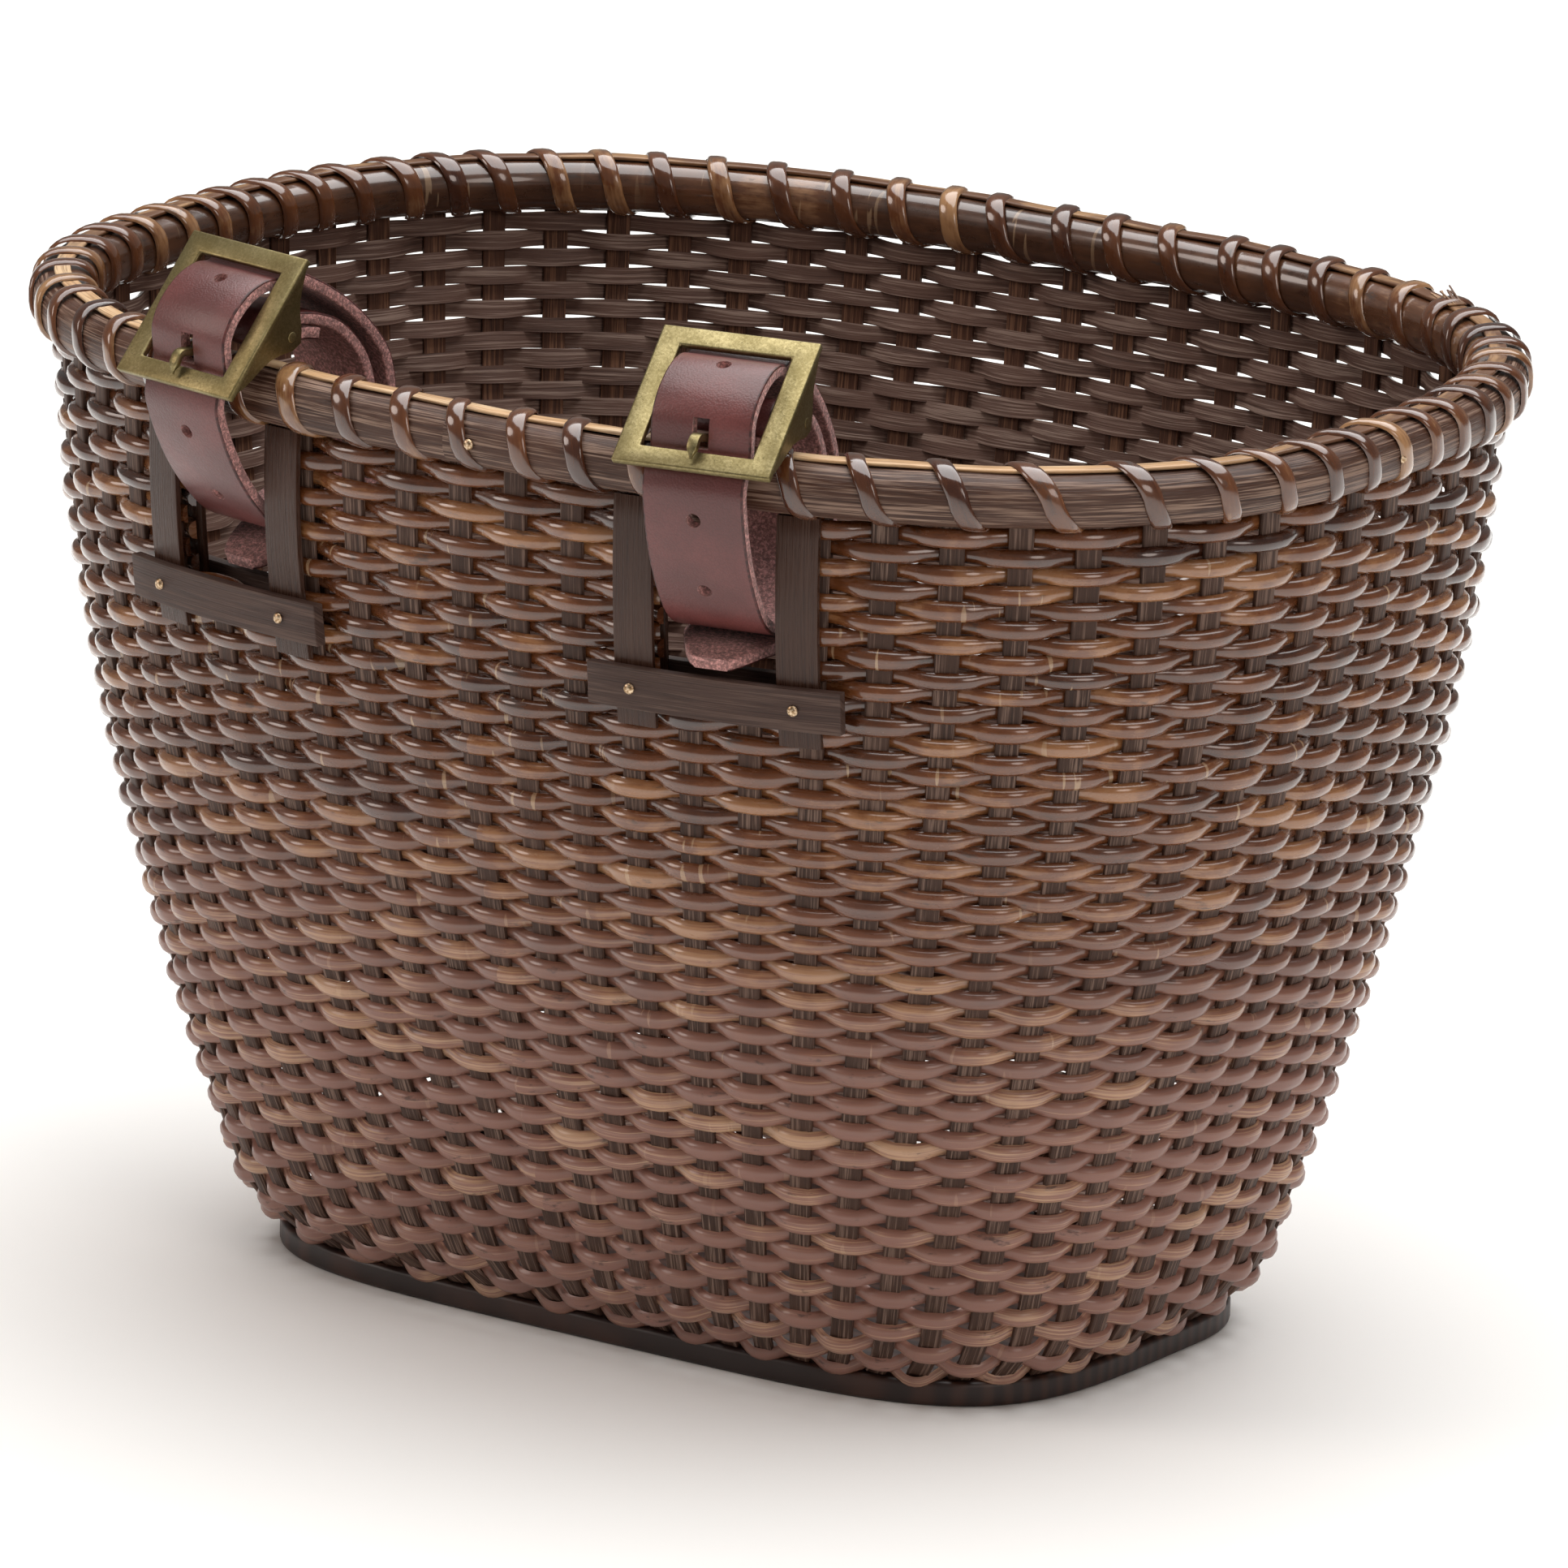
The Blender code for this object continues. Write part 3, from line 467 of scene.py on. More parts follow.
class Graph:
    """One procedural material."""

    def __init__(self, name, roughness=0.5, metallic=0.0, constants=None):
        self.material = bpy.data.materials.new(name)
        self.material.use_nodes = True
        self.tree = self.material.node_tree
        self.shader = self.tree.nodes["Principled BSDF"]
        self.shader.inputs["Roughness"].default_value = roughness
        self.shader.inputs["Metallic"].default_value = metallic
        for key, value in (constants or {}).items():
            self.shader.inputs[key].default_value = value

    def node(self, kind, properties=None, sockets=None, output=0):
        """Adds a node: its settings first, then the values or links of its sockets. Returns one output."""
        made = self.tree.nodes.new(kind)
        for key, value in (properties or {}).items():
            if key == "stops":
                self._set_stops(made.color_ramp, value)
            else:
                setattr(made, key, value)
        for key, value in (sockets or {}).items():
            if isinstance(value, Value):
                self.tree.links.new(value.socket, made.inputs[key])
            else:
                made.inputs[key].default_value = value
        return Value(self, made.outputs[output])

    def _set_stops(self, ramp, stops):
        while len(ramp.elements) < len(stops):
            ramp.elements.new(0.5)
        for element, (position, tone) in zip(ramp.elements, stops):
            element.position = position
            element.color = (*tone, 1)

    def feed(self, name, value):
        self.tree.links.new(value.socket, self.shader.inputs[name])

    def mix(self, share, first, second):
        """Colours mixed by a share."""
        colours = {6: first if isinstance(first, Value) else (*first, 1),
                   7: second if isinstance(second, Value) else (*second, 1)}
        return self.node("ShaderNodeMix", {"data_type": "RGBA"}, {0: share, **colours}, 2)

    def ramp(self, value, *stops):
        return self.node("ShaderNodeValToRGB", {"stops": stops}, {"Fac": value})

    def smooth(self, value, low, high):
        """Value from low to high eased to 0..1."""
        eased = {"interpolation_type": "SMOOTHSTEP"}
        return self.node("ShaderNodeMapRange", eased, {0: value, 1: low, 2: high})

    def vector(self, x, y, z):
        return self.node("ShaderNodeCombineXYZ", None, {0: x, 1: y, 2: z})

    def noise(self, vector, scale=1.0, detail=2.0, roughness=0.5):
        return self.node("ShaderNodeTexNoise", None,
                         {"Vector": vector, "Scale": scale, "Detail": detail, "Roughness": roughness})

    def cells(self, vector, scale):
        return self.node("ShaderNodeTexVoronoi", None, {"Vector": vector, "Scale": scale})

    def bump(self, height, distance, strength):
        self.feed("Normal", self.node("ShaderNodeBump", None,
                                      {"Height": height, "Distance": distance, "Strength": strength}))

    def finish(self, tone, rough, height, distance, strength):
        """Feeds the colour, roughness and bump. Returns the material."""
        self.feed("Base Color", tone)
        self.feed("Roughness", rough)
        self.bump(height, distance, strength)
        return self.material

    def object_place(self):
        return self.node("ShaderNodeTexCoord", None, None, 3)

    def split(self, vector, axis):
        return self.node("ShaderNodeSeparateXYZ", None, {0: vector}, axis)

    def place_on(self, axis):
        """The place along one of the object's axes."""
        return self.split(self.object_place(), axis)

    def grain_place(self):
        """(metres along the fibres, metres across them, lot number)."""
        uv = self.node("ShaderNodeUVMap", {"uv_map": "grain"})
        lot = self.node("ShaderNodeAttribute", {"attribute_name": "lot"}, None, 2)
        return self.split(uv, 0), self.split(uv, 1), lot


# ------------------------------------------------------------------ materials


STAIN = (0.02, 0.011, 0.007)
DUSTY_STAIN = (0.02, 0.011, 0.009)
CRACK = (0.5, 0.34, 0.2)
# Dust and a painted reflection of the pale floor on the strands' lower part: its pink-grey tones, then the
# heights where it starts and where it is full.
FOOT_DUST_AND_SHEEN, FOOT_DUST_AND_SHEEN_STREAK = (0.285, 0.140, 0.108), (0.55, 0.35, 0.22)
DUST_AND_SHEEN_TOP, DUST_AND_SHEEN_FOOT = 0.175, 0.055
# name: (dark, amber and pale tones, roughness, share of cracks)
SKINS = {
    "hoop_skin": (((0.030, 0.011, 0.005), (0.11, 0.042, 0.017), (0.30, 0.16, 0.08)), 0.3, 0.35),
    "lashing_skin": (((0.045, 0.0125, 0.005), (0.130, 0.044, 0.015), (0.34, 0.18, 0.08)), 0.2, 0.0),
}
# name: (ground, pale streak, roughness, share of pale fibres, fibres' scale across)
FIBRES = {
    "strand_back": ((0.140, 0.082, 0.064), (0.45, 0.34, 0.28), 0.55, 0.65, 1500),
    "stake_outer": ((0.048, 0.022, 0.0135), (0.30, 0.20, 0.155), 0.6, 0.6, 1700),
    "stake_inner": ((0.080, 0.035, 0.021), (0.36, 0.19, 0.11), 0.55, 0.6, 1700),
    "hoop_fibre": ((0.058, 0.025, 0.015), (0.40, 0.27, 0.20), 0.36, 0.6, 1900),
    "strip_stain": ((0.044, 0.0175, 0.0095), (0.085, 0.048, 0.034), 0.30, 0.4, 2200),
    "bar_wood": ((0.052, 0.027, 0.020), (0.16, 0.105, 0.082), 0.52, 0.5, 2400),
}


def scaled(tone, share):
    return tuple(c * share for c in tone)


def cane_skin(name, tones, roughness, crack, pale_from, dusty_sheen=False):
    """Peeled cane skin: patches of tone along the strand, fine lines, dark stains and pale cracks across.

    Its dust-and-sheen form turns dull towards the basket's foot and pink-grey there: partly dust, partly a
    painted reflection of the pale floor.
    """
    dark, amber, pale = (tuple(tone) for tone in tones)
    g = Graph(name, roughness, 0.0, {"Coat Weight": 1.0, "Coat Roughness": 0.09})
    along, across, lot = g.grain_place()
    shift = lot * 31.7
    patches = g.noise(g.vector(along * 42, shift, 0.0), 1.0, 3.0, 0.6)
    strand = g.noise(g.vector(shift, 3.1, along * 11), 1.0, 0.0)
    mottle = g.noise(g.vector(along * 160, across * 420, shift), 1.0, 3.0, 0.6)
    lines = g.noise(g.vector(along * 34, across * 2100, shift), 1.0, 2.0)
    tone = patches * 0.55 + strand * 0.6 + mottle * 0.32 + lines * 0.12
    skin = g.ramp(tone, (0.60, dark), (0.86, amber), (pale_from, pale))
    stains = g.smooth(g.noise(g.vector(along * 95, across * 260, shift), 1.0, 4.0, 0.7), 0.6, 0.7)
    skin = g.mix(stains * 0.6, skin, STAIN)
    crossing = g.noise(g.vector(along * 520, shift, across * 60), 1.0, 1.0)
    thin = g.smooth(crossing, 0.66, 0.69)
    patch = g.smooth(g.noise(g.vector(along * 26, shift, 7.0), 1.0, 1.0), 0.54, 0.62)
    cracks = thin * patch * crack
    skin = g.mix(cracks, skin, CRACK)
    rough = mottle * 0.3 + stains * 0.2 + (roughness - 0.14)
    if dusty_sheen:
        # Towards the foot: dust, and a pink-grey painted reflection of the pale floor.
        low = g.smooth(g.place_on(2), DUST_AND_SHEEN_TOP, DUST_AND_SHEEN_FOOT)
        streaks = g.smooth(lines * 0.55 + strand * 0.45 + patches * 0.35, 0.70, 0.86)
        # Pink-grey tone at the foot in streaks, partly dust and partly painted floor reflection.
        worn = g.mix(streaks, FOOT_DUST_AND_SHEEN, FOOT_DUST_AND_SHEEN_STREAK)
        skin = g.mix(low * 0.75, skin, worn)
        skin = g.mix(stains * low * 0.6, skin, DUSTY_STAIN)
        rough = rough + low * 0.16
        g.feed("Coat Weight", low * -0.75 + 1.0)
    return g.finish(skin, rough, lines * 0.5 + mottle * 0.7 - cracks * 0.5, 0.07 * MM, 0.8)


def cane_fibre(name):
    """Split face of cane: long rough fibres, some of them pale."""
    ground, streak, roughness, amount, fineness = FIBRES[name]
    g = Graph(name, roughness, 0.0, {"Specular IOR Level": 0.3})
    along, across, lot = g.grain_place()
    shift = lot * 23.3
    broad = g.noise(g.vector(along * 20, across * 500, shift), 1.0, 2.0)
    fibres = g.noise(g.vector(along * 38, across * fineness, shift), 1.0, 3.0, 0.7)
    pale = g.smooth(fibres + broad * 0.35, 0.66, 0.82) * amount
    dark = g.smooth(fibres, 0.46, 0.34) * 0.6
    tone = g.mix(pale, ground, streak)
    tone = g.mix(dark, tone, scaled(ground, 0.35))
    patch = g.noise(g.vector(along * 30, shift, 2.0), 1.0, 2.0)
    tone = g.mix(g.smooth(patch, 0.35, 0.7) * 0.35, tone, scaled(ground, 1.7))
    return g.finish(tone, pale * 0.15 + fibres * 0.2 + (roughness - 0.12), fibres, 0.35 * MM, 0.8)


def strand_skin():
    s = settings("weave")
    return cane_skin("strand_skin", (s.skin_dark, s.skin_amber, s.skin_pale), 0.25, 0.6, 0.96, dusty_sheen=True)


def cap_skin():
    """Pale inner cane, mottled, and darker brown towards the far side."""
    g = Graph("cap_skin", 0.35)
    along, across, lot = g.grain_place()
    stain = g.noise(g.vector(along * 38, across * 150, lot), 1.0, 3.0, 0.6)
    fibres = g.noise(g.vector(along * 60, across * 1900, lot), 1.0, 2.0)
    far = g.smooth(g.place_on(1), -0.085, -0.02)
    tone = g.mix(g.smooth(stain, 0.42, 0.66), (0.56, 0.34, 0.17), (0.70, 0.50, 0.30))
    tone = g.mix(g.smooth(fibres, 0.50, 0.36) * 0.6, tone, (0.17, 0.08, 0.035))
    # Darker brown towards the far side: in blotches, then evenly.
    tone = g.mix(g.smooth(stain + far * 0.22, 0.60, 0.74) * far, tone, (0.11, 0.045, 0.018))
    tone = g.mix(far * 0.5, tone, (0.12, 0.05, 0.02))
    return g.finish(tone, stain * 0.3 + 0.2, fibres + stain, 0.15 * MM, 0.6)


def board_wood():
    g = Graph("board_wood", 0.45)
    spot = g.object_place()
    warp = g.noise(spot, 18.0, 2.0)
    grain = g.node("ShaderNodeTexWave", {"bands_direction": "Y"},
                   {"Vector": spot, "Scale": 70.0, "Distortion": 3.5, "Detail": 3.0, "Detail Scale": 0.6})
    tone = g.mix(g.smooth(grain * 0.6 + warp * 0.5, 0.3, 0.95), (0.016, 0.006, 0.004), (0.045, 0.017, 0.010))
    return g.finish(tone, warp * 0.2 + 0.34, grain, 0.15 * MM, 0.4)


def leather_grain():
    s = settings("strap")
    g = Graph("leather_grain", 0.42, 0.0, {"Coat Weight": 0.3, "Coat Roughness": 0.3})
    spot = g.object_place()
    pebbles = g.cells(spot, 1900.0)
    fine = g.noise(spot, 900.0, 2.0)
    cloud = g.noise(spot, 55.0, 3.0)
    tone = g.mix(g.smooth(cloud, 0.35, 0.7), scaled(s.grain, 0.78), scaled(s.grain, 1.22))
    tone = g.mix(g.smooth(pebbles, 0.35, 0.75) * 0.35, tone, scaled(s.grain, 0.55))
    return g.finish(tone, fine * 0.16 + cloud * 0.12 + 0.30, pebbles * -0.8 + fine * 0.5, 0.16 * MM, 0.55)


def leather_flesh(name, brightness):
    """Rough suede: pink-brown nap with dark pits."""
    s = settings("strap")
    g = Graph(name, 0.9, 0.0, {"Sheen Weight": 0.2, "Sheen Roughness": 0.5})
    spot = g.object_place()
    nap = g.noise(spot, 1300.0, 4.0, 0.7)
    pits = g.noise(spot, 520.0, 3.0, 0.6)
    base = scaled(s.flesh, brightness)
    tone = g.mix(g.smooth(nap, 0.42, 0.64), scaled(base, 0.5), scaled(base, 1.35))
    tone = g.mix(g.smooth(pits, 0.46, 0.36) * 0.6, tone, scaled(base, 0.3))
    g.feed("Base Color", tone)
    g.bump(nap + pits, 0.5 * MM, 0.9)
    return g.material


def leather_paint():
    """Dark burnished corner between the grain and the cut edge."""
    s = settings("strap")
    g = Graph("leather_paint", 0.4)
    wear = g.noise(g.object_place(), 700.0, 2.0)
    g.feed("Base Color", g.mix(g.smooth(wear, 0.4, 0.7), scaled(s.grain, 0.3), scaled(s.grain, 0.9)))
    return g.material


def antique_brass(name, wear):
    """Olive patina, speckled, and brighter where it is worn."""
    s = settings("buckle")
    g = Graph(name, 0.38, 1.0)
    spot = g.object_place()
    blotch = g.noise(spot, 1300.0, 4.0, 0.7)
    cloud = g.noise(spot, 150.0, 2.0)
    speck = g.noise(spot, 1500.0, 2.0)
    worn = g.smooth(blotch * 0.8 + cloud * 0.6 + speck * 0.3, 0.84 - wear * 0.5, 1.52 - wear * 0.5)
    tone = g.mix(worn, tuple(s.brass), tuple(s.bright))
    tone = g.mix(g.smooth(speck, 0.62, 0.7) * 0.5, tone, scaled(s.brass, 0.4))
    return g.finish(tone, worn * -0.12 + speck * 0.12 + 0.40, blotch + speck * 0.5, 0.08 * MM, 0.5)


def nail_brass():
    g = Graph("nail_brass", 0.4, 1.0)
    speck = g.noise(g.object_place(), 1600.0, 3.0)
    g.feed("Base Color", g.mix(g.smooth(speck, 0.4, 0.62), (0.30, 0.19, 0.10), (0.75, 0.58, 0.40)))
    g.feed("Roughness", speck * 0.3 + 0.25)
    return g.material


# ------------------------------------------------------------------ the basket's shape


def rounded_plan(angles, half_width, near, far, near_power, far_power, shift=0.0):
    """Plan outline whose near and far halves have their own depth and squareness."""
    c, s = np.cos(angles), np.sin(angles)
    depth = np.where(s >= 0, far, near)
    power = np.where(s >= 0, far_power, near_power)
    radius = (np.abs(c / half_width) ** power + np.abs(s / depth) ** power) ** (-1 / power)
    return np.stack([radius * c, radius * s + shift], axis=-1)


class BasketShape:
    """The wall's middle surface and the rim's line, by turn: 0 at the near middle, 1 all the way round."""

    def __init__(self):
        self.s = settings("outline")
        angles = -math.pi / 2 + np.linspace(0, 2 * math.pi, OUTLINE_STATIONS)
        self.angles = angles
        self.rim_turns, self.rim_length = self._turns(self.rim_plan(angles))
        self.foot_grow = self.s.foot_inset - self.s.wall_thickness / 2
        self.base_turns, _ = self._turns(self.base_plan(angles, self.foot_grow))

    def _turns(self, points):
        arcs = arc_lengths(points)
        return arcs / arcs[-1], arcs[-1]

    def rim_plan(self, angles):
        s, core = self.s, self.s.core_thickness / 2
        return rounded_plan(angles, CORE_HIGH.x - core, -CORE_LOW.y - core, CORE_HIGH.y - core,
                            s.rim_near_power, s.rim_far_power)

    def base_plan(self, angles, grow=0.0):
        """The board's outline, grown outwards."""
        s = self.s
        near, far = s.base_shift - BOARD_LOW.y + grow, BOARD_HIGH.y - s.base_shift + grow
        return rounded_plan(angles, BOARD_HIGH.x + grow, near, far,
                            s.base_near_power, s.base_far_power, s.base_shift)

    def openness(self, share):
        share = np.clip(share, 0, 1)
        return self.s.taper_share * share + (1 - self.s.taper_share) * (1 - (1 - share) ** self.s.curl)

    def wall(self, turn, share):
        """Points of the wall's middle surface; a share of 0 is its foot and 1 its top."""
        turn, share = np.broadcast_arrays(turn, share)
        opened = self.openness(share)
        whole, part = np.floor(turn), turn - np.floor(turn)
        rim_angle = np.interp(part, self.rim_turns, self.angles)
        base_angle = np.interp(part, self.base_turns, self.angles)
        angle = base_angle + (rim_angle - base_angle) * opened + whole * 2 * math.pi
        foot = self.s.foot_inset * (1 - np.clip(share / self.s.foot_share, 0, 1)) ** 2
        base = self.base_plan(angle, self.foot_grow - foot)
        plan = base + (self.rim_plan(angle) - base) * opened[..., None]
        height = WALL_LOW.z + share * (WALL_HIGH.z - WALL_LOW.z)
        return np.concatenate([plan, height[..., None]], axis=-1)

    def wall_frame(self, turn, share):
        """(point, upward direction, outward normal) on the wall."""
        step = 1e-4
        point = self.wall(turn, share)
        along = self.wall(turn + step, share) - self.wall(turn - step, share)
        capped = np.minimum(share, 1 - step)
        up = unit(self.wall(turn, capped + step) - self.wall(turn, capped - step))
        return point, up, unit(np.cross(along, up))

    def share_at(self, height):
        return (height - WALL_LOW.z) / (WALL_HIGH.z - WALL_LOW.z)

    def rim(self, arc):
        """(point at height 0, outward direction) of the rim's middle line at an arc length."""
        step = 0.2 * MM

        def plan(place):
            return self.rim_plan(np.interp(place / self.rim_length % 1, self.rim_turns, self.angles))

        along = unit(plan(arc + step) - plan(arc - step))
        point = np.concatenate([plan(arc), np.zeros((*np.shape(arc), 1))], axis=-1)
        out = np.stack([along[..., 1], -along[..., 0], np.zeros(np.shape(arc))], axis=-1)
        return point, out


class StrapPlace:
    """One strap's directions: s along the rim, d outwards and h above the hoops' tops."""

    def __init__(self, side):
        joint = next(j for j in frame["joints"] if j["name"] == f"{side}_strap_swing")
        self.side = side
        self.swing = np.array(joint["pos_m"])
        self.along = -np.array(joint["axis"])
        self.out = np.array((self.along[1], -self.along[0], 0.0))
        self.lean_angle = getattr(settings("strap"), f"lean_{side}")

    def point(self, s, d, z):
        return np.array((*self.swing[:2], z)) + self.along * s + self.out * d

    def along_of(self, points):
        return (points - self.swing) @ self.along

    def section_point(self, s, d, h):
        drop = settings("strap").swing_drop
        c, n = math.cos(self.lean_angle), math.sin(self.lean_angle)
        turned_d, turned_h = d * c - (h + drop) * n, d * n + (h + drop) * c
        return self.point(s, turned_d, HOOP_HIGH.z - drop + turned_h)

    def wall_middle(self, shape, s, height):
        """How far out the wall's middle is at this s and height."""
        turns = np.linspace(-0.25, 0.25, 201)
        offsets = shape.wall(turns, shape.share_at(height)) - self.swing
        along, out = offsets @ self.along, offsets @ self.out
        order = np.argsort(along)
        return float(np.interp(s, along[order], out[order]))


def wave(rng, turns, waves, size):
    """A smooth random curve that closes on itself after one turn."""
    total = np.zeros_like(turns)
    for count in waves:
        total += rng.normal() * np.sin(2 * math.pi * (count * turns + rng.random()))
    return total * size / math.sqrt(len(waves))


# ------------------------------------------------------------------ base and weave


class BASKET_OT_base_board(bpy.types.Operator):
    """Model the solid wood base board"""

    bl_idname = "basket.base_board"
    bl_label = "Base Board"

    def execute(self, context):
        shape = BasketShape()

        def moved(x, y):
            return (*shape.base_plan(math.atan2(y, x)), 0.0)

        board = plate(BOARD_SIDES, moved, (0, 0, BOARD_HIGH.z))
        apply_modifier(board, "BEVEL", width=1.4 * MM, segments=3, limit_method="ANGLE")
        named(board, "wood_base_board")
        shade(board)
        place(board, "basket", "base_board", slot="base_wood", materials=[board_wood()])
        return {"FINISHED"}


class BASKET_OT_stakes(bpy.types.Operator):
    """Model the upright stakes, from the base board into the rim"""

    bl_idname = "basket.stakes"
    bl_label = "Stakes"

    def execute(self, context):
        shape, s = BasketShape(), settings("weave")
        rng = draws("stakes")
        materials = [cane_fibre("stake_outer"), cane_fibre("stake_inner")]
        places = [StrapPlace(side) for side in SIDES]
        half = window_half_width()
        levels = np.linspace(0, 1, 38)
        rim_rise = np.array([0.15, 0.5, 0.9]) * (HOOP_HIGH.z - HOOP_LOW.z)
        sweeper = Sweeper()
        for number in range(s.stakes):
            turn = number / s.stakes
            points, _, normals = shape.wall_frame(np.full_like(levels, turn), levels)
            cut_off = any(abs(p.along_of(points[-1])) < half and points[-1][1] < 0 for p in places)
            if cut_off:
                keep = points[:, 2] < BAR_HIGH.z - 2 * MM
                points, normals = points[keep], normals[keep]
            else:
                rise = points[-1] + np.outer(rim_rise + (HOOP_LOW.z - points[-1][2]), UPWARD)
                points, normals = np.vstack([points, rise]), np.vstack([normals, [normals[-1]] * len(rise)])
            shares = np.linspace(0, 1, len(points))
            width = s.stake_width * (0.86 + 0.14 * shares) * (1 + rng.normal() * 0.04)
            unit_section = rounded_box(1.0, s.stake_thickness, 0.45 * MM, 2)
            section = np.repeat(unit_section[None], len(points), axis=0)
            from_edge = 0.5 - np.abs(unit_section[:, 0])
            section[..., 0] = np.sign(section[..., 0]) * (width[:, None] / 2 - from_edge)
            sides = [1, 1] + [0] * 7 + [1] * 3
            sweeper.add(rings_along(points, normals, section), sides, turn)
        stakes = sweeper.build("cane_stakes")
        place(stakes, "basket", "rim_border_core", slot="cane_dark", materials=materials)
        return {"FINISHED"}


def row_shares(shape, s):
    """Each row's share of the wall's height: rows are even along the slope but for its foot and head."""
    shares = np.linspace(0, 1, 400)
    points = shape.wall(np.full_like(shares, 0.25), shares)
    arcs = arc_lengths(points)
    spread = np.linspace(0, 1, s.rows)
    opening = spread + HEAD_OPENING * np.clip(spread - HEAD_START, 0, 1) ** 2 / HEAD_REACH
    opening -= FOOT_CLOSING * np.exp(-spread / FOOT_REACH)
    opening = (opening - opening[0]) / (opening[-1] - opening[0])
    foot, head = s.strand_width * 0.2, arcs[-1] - s.strand_width * 0.35
    return np.interp(foot + (head - foot) * opening, arcs, shares)


def runs_outside(blocked):
    """Stretches of a closed row that aren't blocked, as index arrays; None if nothing is blocked."""
    if not blocked.any():
        return None
    start = int(np.argmax(blocked))
    order = (np.arange(len(blocked)) + start) % len(blocked)
    runs = [[]]
    for index in order:
        if not blocked[index]:
            runs[-1].append(index)
        elif runs[-1]:
            runs.append([])
    return [np.array(run) for run in runs if len(run) > 2]


class BASKET_OT_weave(bpy.types.Operator):
    """Weave the split-cane strands over and under the stakes"""

    bl_idname = "basket.weave"
    bl_label = "Weave"

    def execute(self, context):
        shape, s = BasketShape(), settings("weave")
        shares = row_shares(shape, s)
        materials = [strand_skin(), cane_fibre("strand_back")]
        rng = draws("weave")
        for band in range(s.bands):
            sweeper = Sweeper()
            first, last = s.rows * band // s.bands, s.rows * (band + 1) // s.bands
            for row in range(first, last):
                self.weave_row(sweeper, shape, s, row, shares[row], rng)
            strands = sweeper.build(f"cane_weave_{band + 1}", 75)
            nodes = ("woven_wall",) if band == 0 else ()
            place(strands, "basket", *nodes, slot="cane_weave", materials=materials)
        return {"FINISHED"}

    def weave_row(self, sweeper, shape, s, row, share, rng):
        count = s.stakes * s.steps
        turns = np.arange(count) / count
        stake_steps = turns * s.stakes
        crossing = np.cos(math.pi * stake_steps) * (1 if row % 2 else -1)
        depth = 0.45 * crossing + 0.55 * np.sin(math.pi / 2 * crossing)
        bulge = 1 + self.at_stakes(rng, s, stake_steps, 0.10)
        reach = (s.stake_thickness + s.strand_thickness) / 2
        height_shift = wave(rng, turns, (2, 5, 9), 0.22 * MM) + self.at_stakes(rng, s, stake_steps, 0.16 * MM)
        point, up, normal = shape.wall_frame(turns, np.full(count, share))
        path = point + normal * (depth * bulge * reach)[:, None] + up * height_shift[:, None]
        blocked = np.zeros(count, bool)
        for place_ in (StrapPlace(side) for side in SIDES):
            near = np.abs(place_.along_of(point)) < window_half_width()
            blocked |= near & (point[:, 1] < 0) & (point[:, 2] > BAR_HIGH.z - 1.5 * MM)
        width = s.strand_width * (1 + rng.normal() * 0.035 + self.at_stakes(rng, s, stake_steps, 0.05))
        width *= (0.93 + 0.07 * np.abs(crossing)) * (1 - s.far_slack * (point[:, 1] > 0) * share)
        section = widened(dome(1.0, s.strand_thickness, 2.15), width)
        sides = [0] * 6 + [1]
        lot = rng.random()
        runs = runs_outside(blocked)
        if runs is None:
            sweeper.add(rings_along(path, normal, section, True), sides, lot, True)
            return
        for run in runs:
            sweeper.add(rings_along(path[run], normal[run], section[run]), sides, lot)

    def at_stakes(self, rng, s, stake_steps, size):
        """A random value at each stake, eased between stakes."""
        values = rng.normal(size=s.stakes) * size
        low = np.floor(stake_steps).astype(int)
        share = stake_steps - low
        share = share * share * (3 - 2 * share)
        return values[low % s.stakes] * (1 - share) + values[(low + 1) % s.stakes] * share


# ------------------------------------------------------------------ rim


class BASKET_OT_hoops(bpy.types.Operator):
    """Model the two half-round rim hoops"""

    bl_idname = "basket.hoops"
    bl_label = "Rim Hoops"

    def execute(self, context):
        shape, s = BasketShape(), settings("rim")
        flat = settings("outline").core_thickness / 2 + s.gap
        skin = cane_skin("hoop_skin", *SKINS["hoop_skin"], 1.08)
        finishes = {"outer": (1, "cane_dark", cane_fibre("hoop_fibre")), "inner": (-1, "cane_gloss", skin)}
        for order, (name, (side, slot, material)) in enumerate(finishes.items()):
            rng = draws(name)
            arcs = np.linspace(0, shape.rim_length, HOOP_STATIONS, endpoint=False)
            turns = arcs / shape.rim_length
            point, out = shape.rim(arcs)
            half_height = (HOOP_HIGH.z - HOOP_LOW.z) / 2
            point[:, 2] = HOOP_HIGH.z - half_height
            section = dome(2 * half_height, s.hoop_depth, s.hoop_power, 14)
            section[:, 1] += s.hoop_depth / 2
            swell = 1 + wave(rng, turns, (3, 7, 16, 31), 0.02)
            normals = out * side
            rings = rings_along(point + normals * flat, normals, section * swell[:, None, None], True)
            hoop = sweep(f"cane_{name}_hoop", rings, [0] * 15, 0.37 + order, True)
            place(hoop, "basket", f"rim_{name}_hoop", slot=slot, materials=[material])
        return {"FINISHED"}


